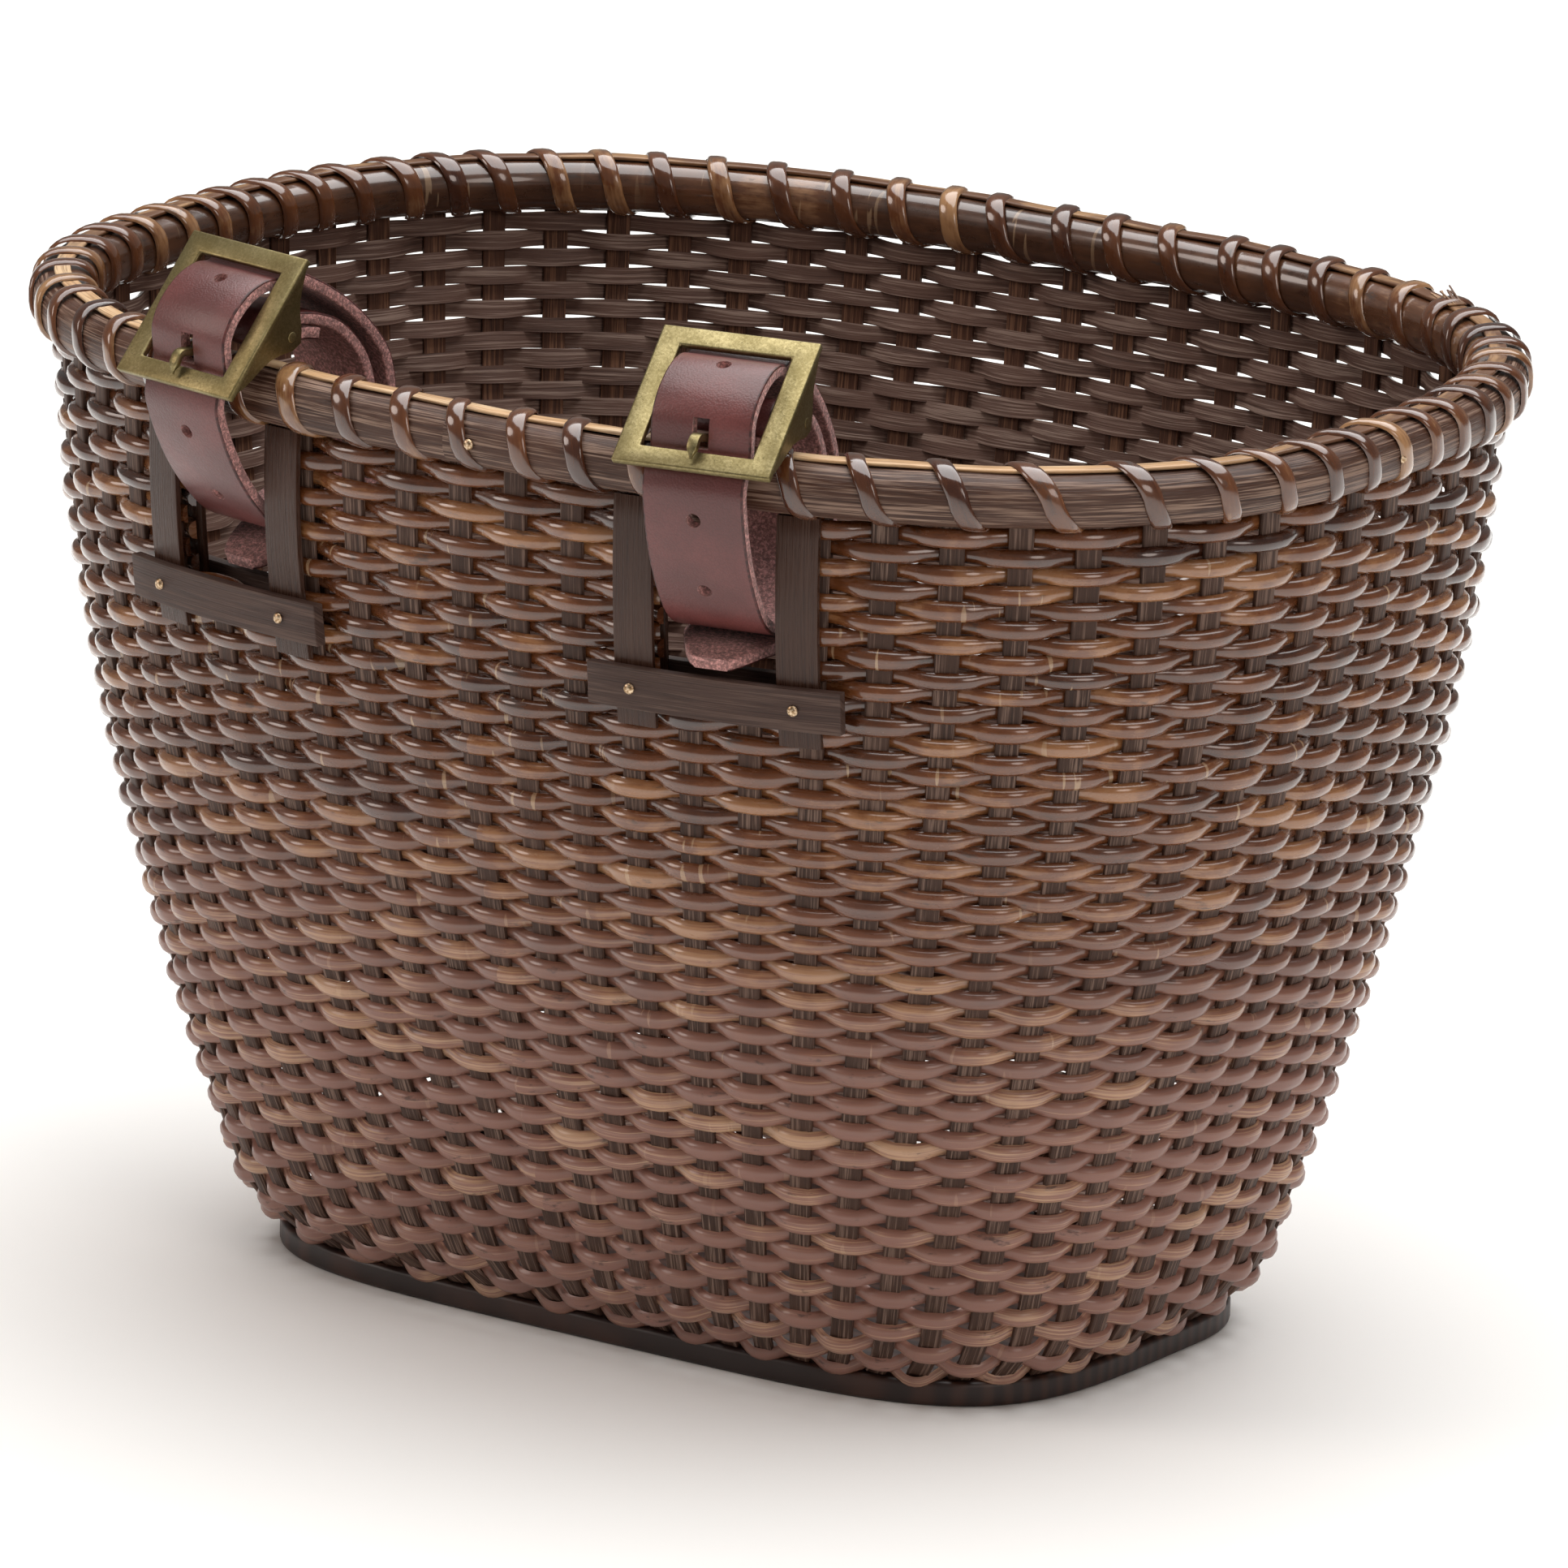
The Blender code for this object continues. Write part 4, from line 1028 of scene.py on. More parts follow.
class BASKET_OT_cap_strip(bpy.types.Operator):
    """Model the pale strip that covers the seam between the hoops"""

    bl_idname = "basket.cap_strip"
    bl_label = "Cap Strip"

    def execute(self, context):
        shape, s = BasketShape(), settings("rim")
        rng = draws("cap")
        arcs = np.linspace(0, shape.rim_length, CAP_STATIONS, endpoint=False)
        turns = arcs / shape.rim_length
        point, out = shape.rim(arcs)
        point[:, 2] = HOOP_HIGH.z + s.cap_thickness / 2
        point[:, 2] += 0.2 * MM + np.clip(wave(rng, turns, (9, 17, 29), 0.22 * MM), -0.2 * MM, 0.5 * MM)
        point += out * wave(rng, turns, (4, 11, 23), 0.35 * MM)[:, None]
        section = rounded_box(s.cap_width, s.cap_thickness, 0.4 * MM, 2)
        sections = widened(section, 1 + wave(rng, turns, (6, 13, 27), 0.07))
        rings = rings_along(point, np.tile(UPWARD, (len(arcs), 1)), sections, True)
        strip = sweep("cane_cap_strip", rings, [0] * 12, 0.61, True)
        place(strip, "basket", "rim_cap_strip", slot="cane_tan", materials=[cap_skin()])
        return {"FINISHED"}


class BASKET_OT_frayed_end(bpy.types.Operator):
    """Model the frayed end of the cap strip, which stands up a little at one end of the rim"""

    bl_idname = "basket.frayed_end"
    bl_label = "Frayed End"

    def execute(self, context):
        shape, s = BasketShape(), settings("rim")
        rng = draws("fray")
        sweeper = Sweeper()
        shares = np.linspace(0, 1, 9)
        section = rounded_box(0.55 * MM, 0.4 * MM, 0.15 * MM, 1)
        for fibre in range(FRAY_FIBRES):
            point, out = shape.rim(s.fray_place + np.linspace(0, rng.uniform(5, 9) * MM, len(shares)))
            side = (fibre / (FRAY_FIBRES - 1) - 0.5) * s.cap_width
            point += out * (side + shares**2 * rng.normal() * 1.2 * MM)[:, None]
            point[:, 2] = HOOP_HIGH.z + s.cap_thickness * 1.3 + shares**1.5 * rng.uniform(0.8, 3.2) * MM
            rings = rings_along(point, np.tile(UPWARD, (len(shares), 1)), section)
            sweeper.add(rings, [0] * 8, fibre / FRAY_FIBRES)
        fray = sweeper.build("cane_frayed_end")
        place(fray, "basket", slot="cane_tan", materials=[cap_skin()])
        return {"FINISHED"}


class BASKET_OT_lashing(bpy.types.Operator):
    """Wind the lashing strip round the rim"""

    bl_idname = "basket.lashing"
    bl_label = "Lashing"

    def execute(self, context):
        shape, s = BasketShape(), settings("rim")
        steps = np.arange(s.turns * TURN_STEPS - OPEN_STEPS)
        arcs = self.places(shape, s, steps / TURN_STEPS)
        spin = -2 * math.pi * steps / TURN_STEPS + math.pi / 2
        flat = settings("outline").core_thickness / 2 + s.gap + s.hoop_depth
        half_depth = flat + s.gap / 2 + s.lashing_thickness / 2
        top = HOOP_HIGH.z + s.cap_thickness + s.gap + s.lashing_thickness / 2
        bottom = HOOP_LOW.z - s.gap - s.lashing_thickness / 2 + 0.1 * MM
        middle, half_height = (top + bottom) / 2, (top - bottom) / 2
        power = s.hoop_power
        c, n = np.cos(spin), np.sin(spin)
        depth = squared(c, power) * half_depth
        rise = squared(n, power) * half_height
        point, out = shape.rim(arcs)
        path = point + out * depth[:, None]
        path[:, 2] = middle + rise
        slope_d = np.sign(c) * np.abs(depth / half_depth) ** (power - 1) / half_depth
        slope_z = np.sign(n) * np.abs(rise / half_height) ** (power - 1) / half_height
        normals = out * slope_d[:, None]
        normals[:, 2] = slope_z
        knots = np.arange(0, len(steps) + 40, 40)
        uneven = np.interp(steps, knots, draws("lashing").normal(size=len(steps) // 40 + 2))
        section = widened(dome(1.0, s.lashing_thickness, 3.0), s.lashing_width * (1 + 0.06 * uneven))
        lashing = sweep("cane_lashing", rings_along(path, unit(normals), section), [0] * 7, 0.83, smooth=60)
        skin = cane_skin("lashing_skin", *SKINS["lashing_skin"], 1.08)
        place(lashing, "basket", "rim_lashing", slot="cane_gloss", materials=[skin])
        return {"FINISHED"}

    def places(self, shape, s, turns):
        """Arc length at each turn: the turns lie further apart on one stretch and closer at the two ends."""
        arcs = np.linspace(0, shape.rim_length, RIM_SAMPLES)
        ends = np.cos(4 * math.pi * arcs / shape.rim_length)
        spacing = 1 + s.slack * np.exp(-((arcs - s.slack_place) / s.slack_reach) ** 2) + 0.12 * ends
        count = np.concatenate([[0.0], np.cumsum(1 / spacing[:-1])])
        drift = np.interp(turns, np.arange(s.turns + 1), draws("drift").normal(size=s.turns + 1) * 0.07)
        return np.interp((turns + drift) / s.turns, count / count[-1], arcs)


def domed_nail(name, head_place, direction, radius, shank_length):
    """A round-headed nail whose head stands on head_place, driven along direction."""
    deselect()
    bpy.ops.mesh.primitive_uv_sphere_add(segments=20, ring_count=10, radius=radius)
    head = bpy.context.object
    bpy.ops.object.mode_set(mode="EDIT")
    bpy.ops.mesh.select_all(action="SELECT")
    bpy.ops.mesh.bisect(plane_co=(0, 0, 0), plane_no=(0, 0, 1), use_fill=True, clear_inner=True)
    bpy.ops.mesh.select_all(action="SELECT")
    bpy.ops.transform.resize(value=(1, 1, 0.55))
    bpy.ops.object.mode_set(mode="OBJECT")
    bpy.ops.mesh.primitive_cylinder_add(vertices=14, radius=radius * 0.5, depth=shank_length,
                                        location=(0, 0, -shank_length / 2 + 0.05 * MM))
    shank = bpy.context.object
    select_only(head)
    shank.select_set(True)
    bpy.ops.object.join()
    turn = Vector(direction).to_track_quat("-Z", "Y").to_matrix().to_4x4()
    head.data.transform(Matrix.Translation(Vector(head_place)) @ turn)
    named(head, name)
    shade(head, 40)
    return head


class BASKET_OT_rim_nails(bpy.types.Operator):
    """Model the small nails through the outer hoop"""

    bl_idname = "basket.rim_nails"
    bl_label = "Rim Nails"

    def execute(self, context):
        shape, material = BasketShape(), nail_brass()
        hoop_depth = settings("rim").hoop_depth
        face = settings("outline").core_thickness / 2 + settings("rim").gap + hoop_depth
        point, out = shape.rim(np.linspace(0, shape.rim_length, RIM_SAMPLES))
        for node in sorted(n for n in frame["nodes"] if n.startswith("rim_nail_")):
            low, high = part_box(node)
            middle = np.array((low + high) / 2)
            nearest = int(np.argmin(np.linalg.norm(point[:, :2] - middle[:2], axis=1)))
            inwards = -out[nearest]
            head = point[nearest] - inwards * face
            head[2] = middle[2]
            nail = domed_nail(f"brass_{node}", head, inwards, settings("window").nail_radius, hoop_depth)
            place(nail, "basket", node, slot="nail_brass", materials=[material])
        return {"FINISHED"}


# ------------------------------------------------------------------ strap windows


def window_half_width():
    return settings("strap").width / 2 + settings("window").side_clearance


def slat(name, size, bevel):
    """A flat slat with eased edges about the origin: x along the rim, y through the wall, z upwards."""
    deselect()
    bpy.ops.mesh.primitive_cube_add(size=1.0)
    obj = bpy.context.object
    obj.scale = size
    apply_placement(obj)
    edit_all(obj, bpy.ops.mesh.subdivide, number_cuts=SLAT_CUTS)
    apply_modifier(obj, "BEVEL", width=bevel, segments=2, limit_method="ANGLE")
    return named(obj, name)


def set_grain(obj, fibre_axis, lot):
    """Writes the grain UV from the slat's own x and z, before it is bent to the wall."""
    layer = obj.data.uv_layers.new(name="grain")
    other = 2 if fibre_axis == 0 else 0
    for loop in obj.data.loops:
        co = obj.data.vertices[loop.vertex_index].co
        layer.data[loop.index].uv = (co[fibre_axis], co[other] + co[1] * 0.7 + 0.1)
    attribute = obj.data.attributes.new("lot", "FLOAT", "POINT")
    attribute.data.foreach_set("value", [lot] * len(obj.data.vertices))


def bend_to_wall(obj, place_, shape, centre_s, centre_z, offset, bow=0.0):
    """Moves a slat's points from (s, off, z) about its centre to the curved wall."""
    cache = {}
    half = max(v.co.z for v in obj.data.vertices)
    for vert in obj.data.vertices:
        s, off, z = vert.co.x + centre_s, vert.co.y, vert.co.z + centre_z
        key = (round(s, 6), round(z, 6))
        if key not in cache:
            cache[key] = place_.wall_middle(shape, s, min(z, WALL_HIGH.z))
        lift = bow * max(0.0, 1 - (vert.co.z / half) ** 2)
        vert.co = place_.point(s, cache[key] + offset + lift - off, z)
    edit_all(obj, bpy.ops.mesh.normals_make_consistent, inside=False)
    shade(obj)


class BASKET_OT_windows(bpy.types.Operator):
    """Model the strips, bars and nails that frame the two strap windows"""

    bl_idname = "basket.windows"
    bl_label = "Strap Windows"

    def execute(self, context):
        shape, w = BasketShape(), settings("window")
        finishes = {"strip": cane_fibre("strip_stain"), "bar": cane_fibre("bar_wood"), "nail": nail_brass()}
        strip_off = settings("outline").wall_thickness / 2 + settings("rim").gap
        bar_off = strip_off + w.strip_thickness + settings("rim").gap
        half = window_half_width()
        bar_middle, bar_height = (BAR_LOW.z + BAR_HIGH.z) / 2, BAR_HIGH.z - BAR_LOW.z
        strip_low = BAR_LOW.z - w.strip_tail
        strip_height = HOOP_LOW.z - strip_low
        for side in SIDES:
            place_ = StrapPlace(side)
            for face, sign in (("outer", 1), ("inner", -1)):
                for hand, s_sign in SIDES.items():
                    node = f"{side}_window_{face}_strip_{hand}"
                    strip = slat(f"dark_{node}", (w.strip_width, w.strip_thickness, strip_height), 0.35 * MM)
                    set_grain(strip, 2, s_sign * 0.3 + sign)
                    bend_to_wall(strip, place_, shape, s_sign * (half + w.strip_width / 2),
                                 strip_low + strip_height / 2, sign * (strip_off + w.strip_thickness / 2),
                                 0.9 * MM if face == "outer" else 0.0)
                    place(strip, "basket", node, slot="strip_dark", materials=[finishes["strip"]])
                node = f"{side}_window_{face}_bar"
                reach = half + w.strip_width + w.bar_overhang
                bar = slat(f"dark_{node}", (2 * reach, w.bar_thickness, bar_height), 0.45 * MM)
                set_grain(bar, 0, 0.4 + sign)
                bend_to_wall(bar, place_, shape, 0.0, bar_middle, sign * (bar_off + w.bar_thickness / 2))
                place(bar, "basket", node, slot="strip_dark", materials=[finishes["bar"]])
            self.nails(place_, shape, w, bar_off + w.bar_thickness, bar_middle, finishes["nail"])
        return {"FINISHED"}

    def nails(self, place_, shape, w, face_off, height, material):
        for hand, s_sign in SIDES.items():
            s = s_sign * (window_half_width() + w.strip_width / 2)
            head = place_.point(s, place_.wall_middle(shape, s, height) + face_off, height)
            node = f"{place_.side}_window_nail_{hand}"
            nail = domed_nail(f"brass_{node}", head, -place_.out, w.nail_radius, 2 * face_off - 0.4 * MM)
            place(nail, "basket", node, slot="nail_brass", materials=[material])


# ------------------------------------------------------------------ straps


def smooth_path(points, spacing):
    """Catmull-Rom curve through the points, sampled at about this spacing."""
    points = [np.array(p, float) for p in points]
    ends = [2 * points[0] - points[1], *points, 2 * points[-1] - points[-2]]
    path = []
    for a, b, c, d in zip(ends, ends[1:], ends[2:], ends[3:]):
        steps = max(1, round(float(np.linalg.norm(c - b)) / spacing))
        for i in range(steps):
            t = i / steps
            path.append(0.5 * (2 * b + (c - a) * t + (2 * a - 5 * b + 4 * c - d) * t**2
                               + (3 * b - a - 3 * c + d) * t**3))
    path.append(points[-1])
    return np.array(path)


def path_normals(path):
    along = unit(np.gradient(path, axis=0))
    return np.column_stack([-along[:, 1], along[:, 0]])


def buckle_to_section(p, q):
    """Buckle coordinates, up the face and off it, to the strap's (d, h)."""
    b = settings("buckle")
    c, n = math.cos(b.lean), math.sin(b.lean)
    return (b.foot_out + p * c + q * n, -b.foot_drop + p * n - q * c)


# The strap's middle line in millimetres: (outwards, above the hoops' tops). In the hanging loop the second
# number is a share of the depth from the hoops' tops to the window's bar.
INNER_ARC = ((-7.5, 10.6), (-12, 9.6), (-17.5, 8.1), (-24, 4.8), (-29.8, -1.5))
HANGING_LOOP = (
    (-33, 0.15), (-34, 0.31), (-32.5, 0.47), (-28.5, 0.625), (-22, 0.74), (-14.5, 0.79), (-7.5, 0.78),
    (-1, 0.72), (4.9, 0.60), (9.5, 0.47), (12.9, 0.335), (15, 0.217), (15.9, 0.127),
)
FREE_ARC = ((-20.7, 14.6), (-29.4, 7.4), (-36.2, -0.7))
FREE_SPARE = (3.4, 3.2, 2.8, 1.6, 0.5, 0.6)
# Through the buckle, in millimetres: (up the face, off it) from its lower and from its upper edge.
OVER_LOWER_BAR = ((6.8, -2.4), (9.5, 0.2), (13, 3.4), (18, 4.7), (23, 4.4))
OVER_UPPER_BAR = ((13, 3.2), (9.4, 0.9), (6.9, -2.2), (3.0, -5.2))
FOLD_TURNS = (-100, -60, -15, 30, 70, 100)


class StrapCourse:
    """The strap's middle line in its section plane, from the folded end to the free tip."""

    def __init__(self):
        self.s, self.b = settings("strap"), settings("buckle")
        self.gap = settings("rim").gap
        self.depth = HOOP_HIGH.z - BAR_HIGH.z
        self.pin = np.array(buckle_to_section(self.b.pin_up, -self.b.pin_depth))
        fixed = self.fold() + self.inner_arc() + self.inner_loop()
        self.path = smooth_path(fixed + self.through_buckle() + self.free_end(), 1.1 * MM)
        self.arcs = arc_lengths(self.path)

    def inner_arc(self):
        return [(d * MM, h * MM) for d, h in INNER_ARC]

    def inner_loop(self):
        return [(d * MM, -share * self.depth) for d, share in HANGING_LOOP]

    def fold(self):
        radius = self.b.pin_radius + self.gap + self.s.thickness / 2
        under = self.s.thickness + 2.5 * self.gap
        arc = self.inner_arc()
        stub = [(arc[2][0], arc[2][1] - under), (arc[1][0], arc[1][1] - under - self.gap)]
        turns = [math.radians(a) for a in FOLD_TURNS]
        return stub + [self.pin + radius * np.array((math.cos(a), math.sin(a))) for a in turns]

    def through_buckle(self):
        under = -(self.b.thickness + self.s.thickness) / 2 - 2 * self.gap
        lower = [(p * MM, q * MM) for p, q in OVER_LOWER_BAR]
        upper = [(self.b.height - p * MM, q * MM) for p, q in OVER_UPPER_BAR]
        return [buckle_to_section(p, q) for p, q in [(3.2 * MM, under)] + lower + upper]

    def free_end(self):
        arc = [(d * MM, h * MM) for d, h in FREE_ARC]
        layer = self.s.thickness + self.gap
        spare = [extra * MM for extra in FREE_SPARE]
        loop = np.array(self.inner_loop())
        outwards = path_normals(loop)
        beside = [tuple(loop[i] - outwards[i] * (layer + extra)) for i, extra in enumerate(spare)]
        tip = -self.depth + self.s.thickness / 2 + 2 * MM
        return arc + beside + [(-6 * MM, tip + 2.2 * MM), (1 * MM, tip)]

    def half_widths(self):
        share = np.clip((self.arcs[-1] - self.arcs) / self.s.tip_length, 0, 1)
        return (self.s.tip_width + (self.s.width - self.s.tip_width) * share**0.7) / 2

    def arc_at(self, target):
        return self.arcs[int(np.argmin(np.linalg.norm(self.path - np.array(target), axis=1)))]

    def at(self, arc):
        """(point, direction) at an arc length."""
        point = np.array([np.interp(arc, self.arcs, self.path[:, k]) for k in (0, 1)])
        ahead = np.array([np.interp(arc + 0.5 * MM, self.arcs, self.path[:, k]) for k in (0, 1)])
        return point, unit(ahead - point)


def section_matrix(place_, point, ahead):
    """Matrix whose X is along the rim, Y from one section point to another and Z off the outer face."""
    origin = Vector(place_.section_point(0.0, *point))
    y = (Vector(place_.section_point(0.0, *ahead)) - origin).normalized()
    x = Vector(place_.along)
    return Matrix.Translation(origin) @ Matrix((x, y, x.cross(y))).transposed().to_4x4()


def punch(strap, matrix, add_tool):
    """Cuts a tool, modelled about the origin, out of the strap; the cut face takes the edge's finish."""
    deselect()
    add_tool()
    tool = bpy.context.object
    tool.data.transform(matrix)
    for material in strap.data.materials:
        tool.data.materials.append(material)
    tool.data.polygons.foreach_set("material_index", [1] * len(tool.data.polygons))
    apply_modifier(strap, "BOOLEAN", object=tool, operation="DIFFERENCE", solver="EXACT")
    bpy.data.objects.remove(tool)


class BASKET_OT_straps(bpy.types.Operator):
    """Model the two leather straps with their holes"""

    bl_idname = "basket.straps"
    bl_label = "Leather Straps"

    def execute(self, context):
        s, b = settings("strap"), settings("buckle")
        materials = [leather_grain(), leather_flesh("leather_edge", 1.1),
                     leather_flesh("leather_flesh", 1.0), leather_paint()]
        course = StrapCourse()
        for side in SIDES:
            place_ = StrapPlace(side)
            strap = self.ribbon(f"leather_{side}_strap", place_, course, s)
            for material in materials:
                strap.data.materials.append(material)
            self.cut_holes(strap, place_, course, s, b)
            strap.data.set_sharp_from_angle(angle=math.radians(45))
            place(strap, f"{side}_strap_loop", f"{side}_strap", slot="leather_brown")
        return {"FINISHED"}

    def ribbon(self, name, place_, course, s):
        normals = path_normals(course.path)
        half_widths = course.half_widths()
        unit_section = rounded_box(s.width, s.thickness, 0.5 * MM, 3)
        slots = self.side_slots(unit_section, s)
        rings = []
        for point, normal, half in zip(course.path, normals, half_widths):
            ring = []
            for across, off in unit_section:
                across = math.copysign(max(half - (s.width / 2 - abs(across)), 0.0), across)
                d, h = point - normal * off
                ring.append(place_.section_point(across, d, h))
            rings.append(ring)
        return sweep(name, rings, slots, 0.5, smooth=45)

    def side_slots(self, section, s):
        """Grain on the outer face, paint on its corners, suede on the edges and the back."""
        slots = []
        for first, second in zip(section, np.roll(section, -1, axis=0)):
            across, off = (first + second) / 2
            if abs(across) < s.width / 2 - 0.45 * MM:
                slots.append(0 if off > 0 else 2)
            else:
                slots.append(3 if off > s.thickness * 0.3 else 1)
        return slots

    def cut_holes(self, strap, place_, course, s, b):
        gap = settings("rim").gap
        slot_width = b.prong_width + 3 * gap
        start = course.arc_at(buckle_to_section(9.6 * MM, 0.3 * MM))
        deep = s.thickness + 2 * MM

        def box(x, y, z):
            def add():
                bpy.ops.mesh.primitive_cube_add(size=1.0)
                bpy.context.object.data.transform(Matrix.Diagonal((x, y, z, 1)))
            return add

        def round_hole():
            bpy.ops.mesh.primitive_cylinder_add(vertices=28, radius=s.hole_radius, depth=deep)

        def cut(point, direction, add_tool):
            punch(strap, section_matrix(place_, point, point + direction * MM), add_tool)

        point, direction = course.at(start)
        cut(point + direction * s.slot_lead, direction, box(slot_width, s.slot_length, deep))
        for pitches in STRAP_HOLES:
            cut(*course.at(start + pitches * s.hole_pitch), round_hole)
        inner = np.array(course.inner_loop()[1])
        cut(inner, np.array((0.0, -1.0)), box(s.inner_slot_width, s.inner_slot_length, deep))
        fold_length = 2 * (b.pin_radius + EYE_WALL + gap) + 3 * MM
        fold_depth = 2 * (b.pin_radius + s.thickness + 1.5 * MM)
        fold = course.pin + np.array((1.5 * MM, 0.0))
        cut(fold, np.array((1.0, 0.0)), box(slot_width, fold_length, fold_depth))


# ------------------------------------------------------------------ buckles


# The prong's middle line in millimetres: (up the face, off it), from its eye to its tip.
PRONG_BEND = ((15, -6.3), (11.6, -2.6), (9.3, 0.9), (7.2, 3.6), (4.6, 3.4))


class BASKET_OT_buckles(bpy.types.Operator):
    """Model the square buckle frames, their flanges, pins and prongs"""

    bl_idname = "basket.buckles"
    bl_label = "Buckles"

    def execute(self, context):
        b = settings("buckle")
        patina, bright = antique_brass("antique_brass", 0.42), antique_brass("worn_brass", 0.95)
        for side in SIDES:
            place_ = StrapPlace(side)
            matrix = section_matrix(place_, buckle_to_section(0.0, 0.0), buckle_to_section(1.0, 0.0))
            body = f"{side}_strap_loop"
            buckle = self.square_frame(b)
            for s_sign in SIDES.values():
                flange = self.flange(b, s_sign)
                select_only(buckle)
                flange.select_set(True)
                bpy.ops.object.join()
            buckle.data.transform(matrix)
            named(buckle, f"brass_{side}_buckle")
            shade(buckle, 30)
            buckle.data.materials.append(patina)
            buckle.data.materials.append(bright)
            place(buckle, body, f"{side}_buckle_frame", slot="antique_brass")
            pin = self.pin(b)
            pin.data.transform(matrix)
            named(pin, f"brass_{side}_pin")
            place(pin, body, f"{side}_buckle_pin", slot="antique_brass", materials=[patina])
            prong = self.prong(f"brass_{side}_prong", place_, b)
            place(prong, f"{side}_prong", f"{side}_buckle_prong", slot="antique_brass",
                  materials=[patina, bright])
        return {"FINISHED"}

    def half_width(self, b):
        return settings("strap").width / 2 + b.side_clearance + b.side_bar

    def square_frame(self, b):
        """A plate, inset on both faces and bridged through, with worn edges."""
        half = self.half_width(b)
        deselect()
        bpy.ops.mesh.primitive_cube_add(size=1.0)
        obj = bpy.context.object
        obj.scale = (2 * half, b.height, b.thickness)
        obj.location = (0, b.height / 2, 0)
        apply_placement(obj)
        bpy.ops.object.mode_set(mode="EDIT")
        select_faces(obj, lambda face: abs(face.normal.z) > 0.9)
        bpy.ops.mesh.inset(thickness=b.cross_bar, depth=0.0, use_individual=True)
        narrower = (half - b.side_bar) / (half - b.cross_bar)
        bpy.ops.transform.resize(value=(narrower, 1, 1), center_override=(0, b.height / 2, 0))
        bpy.ops.mesh.bridge_edge_loops()
        bpy.ops.mesh.select_all(action="SELECT")
        bpy.ops.mesh.normals_make_consistent(inside=False)
        bpy.ops.object.mode_set(mode="OBJECT")
        apply_modifier(obj, "BEVEL", width=0.55 * MM, segments=3, limit_method="ANGLE", material=1)
        return obj

    def flange(self, b, s_sign):
        """Curved side flange behind the frame, deepest where it carries the pin."""
        half = self.half_width(b)
        low = -b.pin_depth - b.pin_radius - settings("rim").gap - b.ear_reach
        start, reach, ear_width = b.height * 0.04, b.height * 0.92, b.height * 0.14
        inner = s_sign * (half - b.ear_thickness - 0.1 * MM)

        def moved(x, y):
            share = (x + 1) / 2
            from_pin = (start + reach * share - b.pin_up) / ear_width
            rounded = 0.42 * math.sin(math.pi * share) ** 0.7 + 0.58 * math.exp(-from_pin * from_pin)
            return inner, start + reach * share, low * rounded if y < 0 else -b.thickness * 0.3

        obj = plate(40, moved, (s_sign * b.ear_thickness, 0, 0))
        apply_modifier(obj, "BEVEL", width=0.3 * MM, segments=2, limit_method="ANGLE", material=1)
        return obj

    def pin(self, b):
        deselect()
        bpy.ops.mesh.primitive_cylinder_add(
            vertices=24, radius=b.pin_radius, depth=2 * self.half_width(b),
            rotation=(0, math.pi / 2, 0), location=(0, b.pin_up, -b.pin_depth))
        obj = bpy.context.object
        apply_placement(obj)
        apply_modifier(obj, "BEVEL", width=0.4 * MM, segments=3, limit_method="ANGLE")
        shade(obj, 40)
        return obj

    def prong(self, name, place_, b):
        rest = b.thickness / 2 + 0.3 * MM + b.prong_thickness / 2
        eye = b.pin_radius + EYE_WALL
        bent = [(p * MM, q * MM) for p, q in PRONG_BEND]
        points = [(b.pin_up - eye + 0.6 * MM, -b.pin_depth), *bent, (1.9 * MM, rest)]
        path = smooth_path([buckle_to_section(p, q) for p, q in points], 0.7 * MM)
        normals = path_normals(path)
        centres = np.array([place_.section_point(0.0, *point) for point in path])
        offs = np.array([place_.section_point(0.0, *point) for point in path + normals * MM]) - centres
        shares = np.linspace(0, 1, len(path))
        tip = np.clip((1 - shares) / 0.1, 0.35, 1)
        section = rounded_box(b.prong_width, b.prong_thickness, 0.6 * MM, 2)
        section = section * ((1 - 0.2 * shares) * tip)[:, None, None]
        sweeper = Sweeper()
        sweeper.add(rings_along(centres, -unit(offs), section), [0] * 2 + [1] * 4 + [0] * 6, 0.2)
        turns = np.linspace(0, 2 * math.pi, 28, endpoint=False)
        ring_radius = b.pin_radius + 0.3 * MM + 0.7 * MM
        pin = np.array(buckle_to_section(b.pin_up, -b.pin_depth))
        circle = [pin + ring_radius * np.array((math.cos(a), math.sin(a))) for a in turns]
        ring = np.array([place_.section_point(0.0, *point) for point in circle])
        outward = ring - place_.section_point(0.0, *pin)
        eye_section = rounded_box(b.prong_width, 1.4 * MM, 0.4 * MM, 2)
        sweeper.add(rings_along(ring, outward, eye_section, True), [0] * 12, 0.3, True)
        return sweeper.build(name, 40)


# ------------------------------------------------------------------ stage


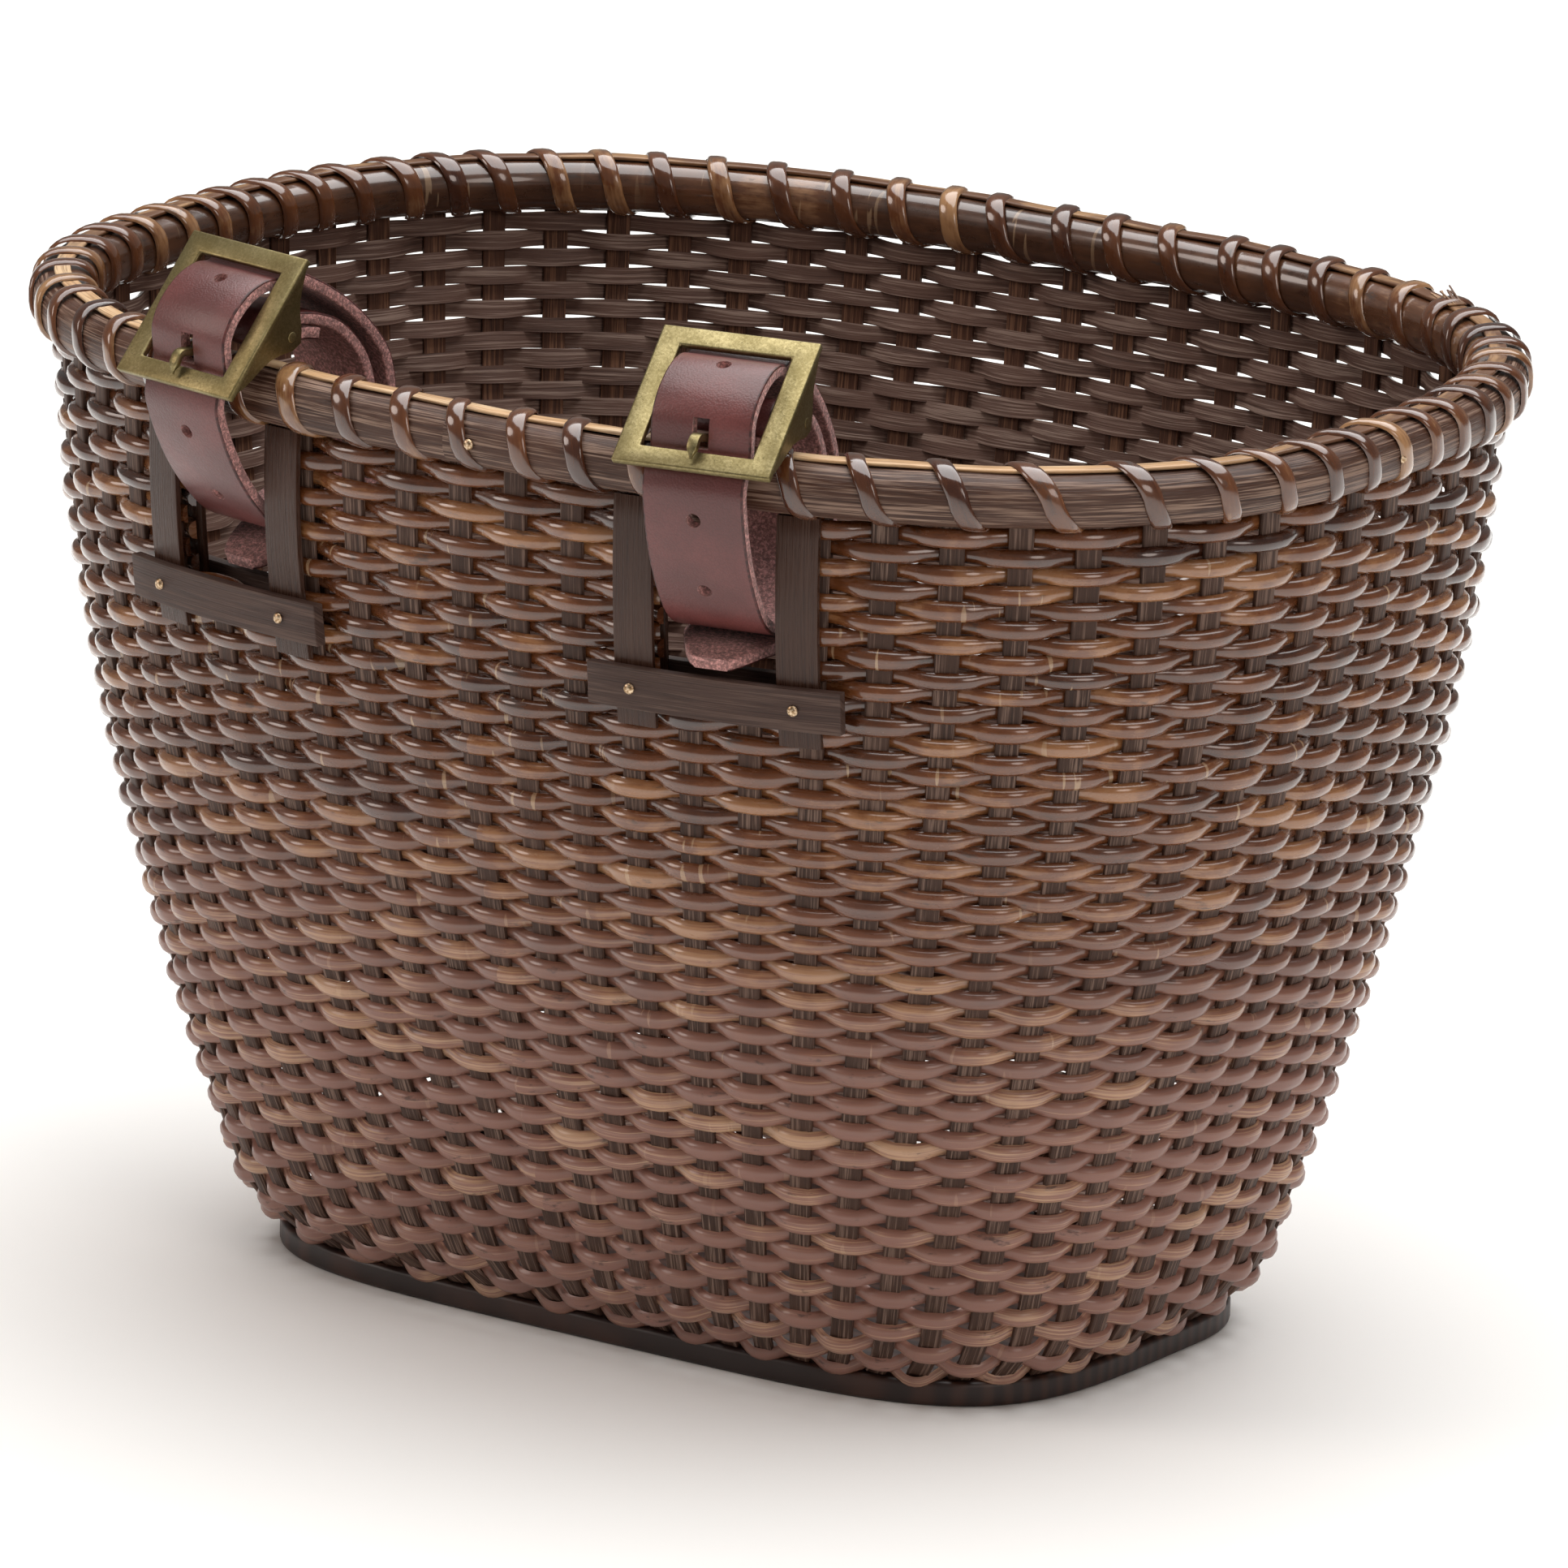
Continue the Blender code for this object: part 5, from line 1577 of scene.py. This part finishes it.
class BASKET_OT_stage(bpy.types.Operator):
    """Set the pale floor, the soft lights and the camera"""

    bl_idname = "basket.stage"
    bl_label = "Stage"

    def execute(self, context):
        s = settings("stage")
        self.floor(s)
        self.world(s)
        target = Vector((0.0, 0.0, s.target_height))
        self.softbox("top_light", (0.0, 0.5, 2.6), target, 4.0, s.top_power)
        self.softbox("left_light", (-2.2, -1.8, 1.5), target, 1.4, s.side_power, s.side_colour)
        self.softbox("right_light", (2.4, -1.2, 1.3), target, 1.2, s.side_power * 0.6, s.side_colour)
        self.camera(s)
        context.scene.view_settings.view_transform = "Standard"
        return {"FINISHED"}

    def floor(self, s):
        deselect()
        bpy.ops.mesh.primitive_plane_add(size=s.floor_size)
        floor = named(bpy.context.object, "studio_floor")
        g = Graph("floor_paper", 0.85)
        g.shader.inputs["Base Color"].default_value = (*s.floor_colour, 1)
        floor.data.materials.append(g.material)

    def world(self, s):
        world = bpy.data.worlds.new("studio")
        bpy.context.scene.world = world
        world.use_nodes = True
        background = world.node_tree.nodes["Background"]
        background.inputs["Color"].default_value = (*s.room_colour, 1)
        background.inputs["Strength"].default_value = s.surroundings

    def softbox(self, name, location, target, size, power, tint=(1.0, 1.0, 1.0)):
        data = bpy.data.lights.new(name, "AREA")
        data.shape = "DISK"
        data.size = size
        data.energy = power
        data.color = tint
        light = bpy.data.objects.new(name, data)
        light.location = location
        light.rotation_euler = (target - Vector(location)).to_track_quat("-Z", "Y").to_euler()
        bpy.context.scene.collection.objects.link(light)

    def camera(self, s):
        data = bpy.data.cameras.new("camera")
        data.sensor_width = 36
        data.lens = s.lens
        data.clip_end = 50
        camera = bpy.data.objects.new("camera", data)
        bpy.context.scene.collection.objects.link(camera)
        c = math.cos(s.elevation)
        back = Vector((math.sin(s.azimuth) * c, -math.cos(s.azimuth) * c, math.sin(s.elevation)))
        right = Vector((math.cos(s.azimuth), math.sin(s.azimuth), 0.0))
        up = back.cross(right)
        turned_right = math.cos(s.roll) * right + math.sin(s.roll) * up
        turned_up = math.cos(s.roll) * up - math.sin(s.roll) * right
        place_ = right * s.target_side + Vector((0, 0, s.target_height)) + back * s.distance
        turn = Matrix((turned_right, turned_up, back)).transposed().to_4x4()
        camera.matrix_world = Matrix.Translation(place_) @ turn
        bpy.context.scene.camera = camera


# ------------------------------------------------------------------ panel and run


STEPS = (
    BASKET_OT_base_board,
    BASKET_OT_stakes,
    BASKET_OT_weave,
    BASKET_OT_hoops,
    BASKET_OT_cap_strip,
    BASKET_OT_frayed_end,
    BASKET_OT_lashing,
    BASKET_OT_rim_nails,
    BASKET_OT_windows,
    BASKET_OT_straps,
    BASKET_OT_buckles,
    BASKET_OT_stage,
)


class BASKET_PT_panel(bpy.types.Panel):
    bl_idname = "BASKET_PT_panel"
    bl_label = "Handlebar Basket"
    bl_space_type = "VIEW_3D"
    bl_region_type = "UI"
    bl_category = "Basket"

    def draw(self, context):
        for name, group in SETTINGS.items():
            box = self.layout.box()
            box.label(text=name.title())
            for prop in group.__annotations__:
                box.prop(settings(name), prop)
        for step in STEPS:
            self.layout.operator(step.bl_idname)


def register():
    for name, group in SETTINGS.items():
        bpy.utils.register_class(group)
        setattr(bpy.types.Scene, f"basket_{name}", PointerProperty(type=group))
    for cls in (*STEPS, BASKET_PT_panel):
        bpy.utils.register_class(cls)


def unregister():
    for cls in (BASKET_PT_panel, *reversed(STEPS)):
        bpy.utils.unregister_class(cls)
    for name, group in SETTINGS.items():
        delattr(bpy.types.Scene, f"basket_{name}")
        bpy.utils.unregister_class(group)


def main():
    register()
    for step in STEPS:
        group, name = step.bl_idname.split(".")
        getattr(getattr(bpy.ops, group), name)()


if __name__ == "__main__":
    main()
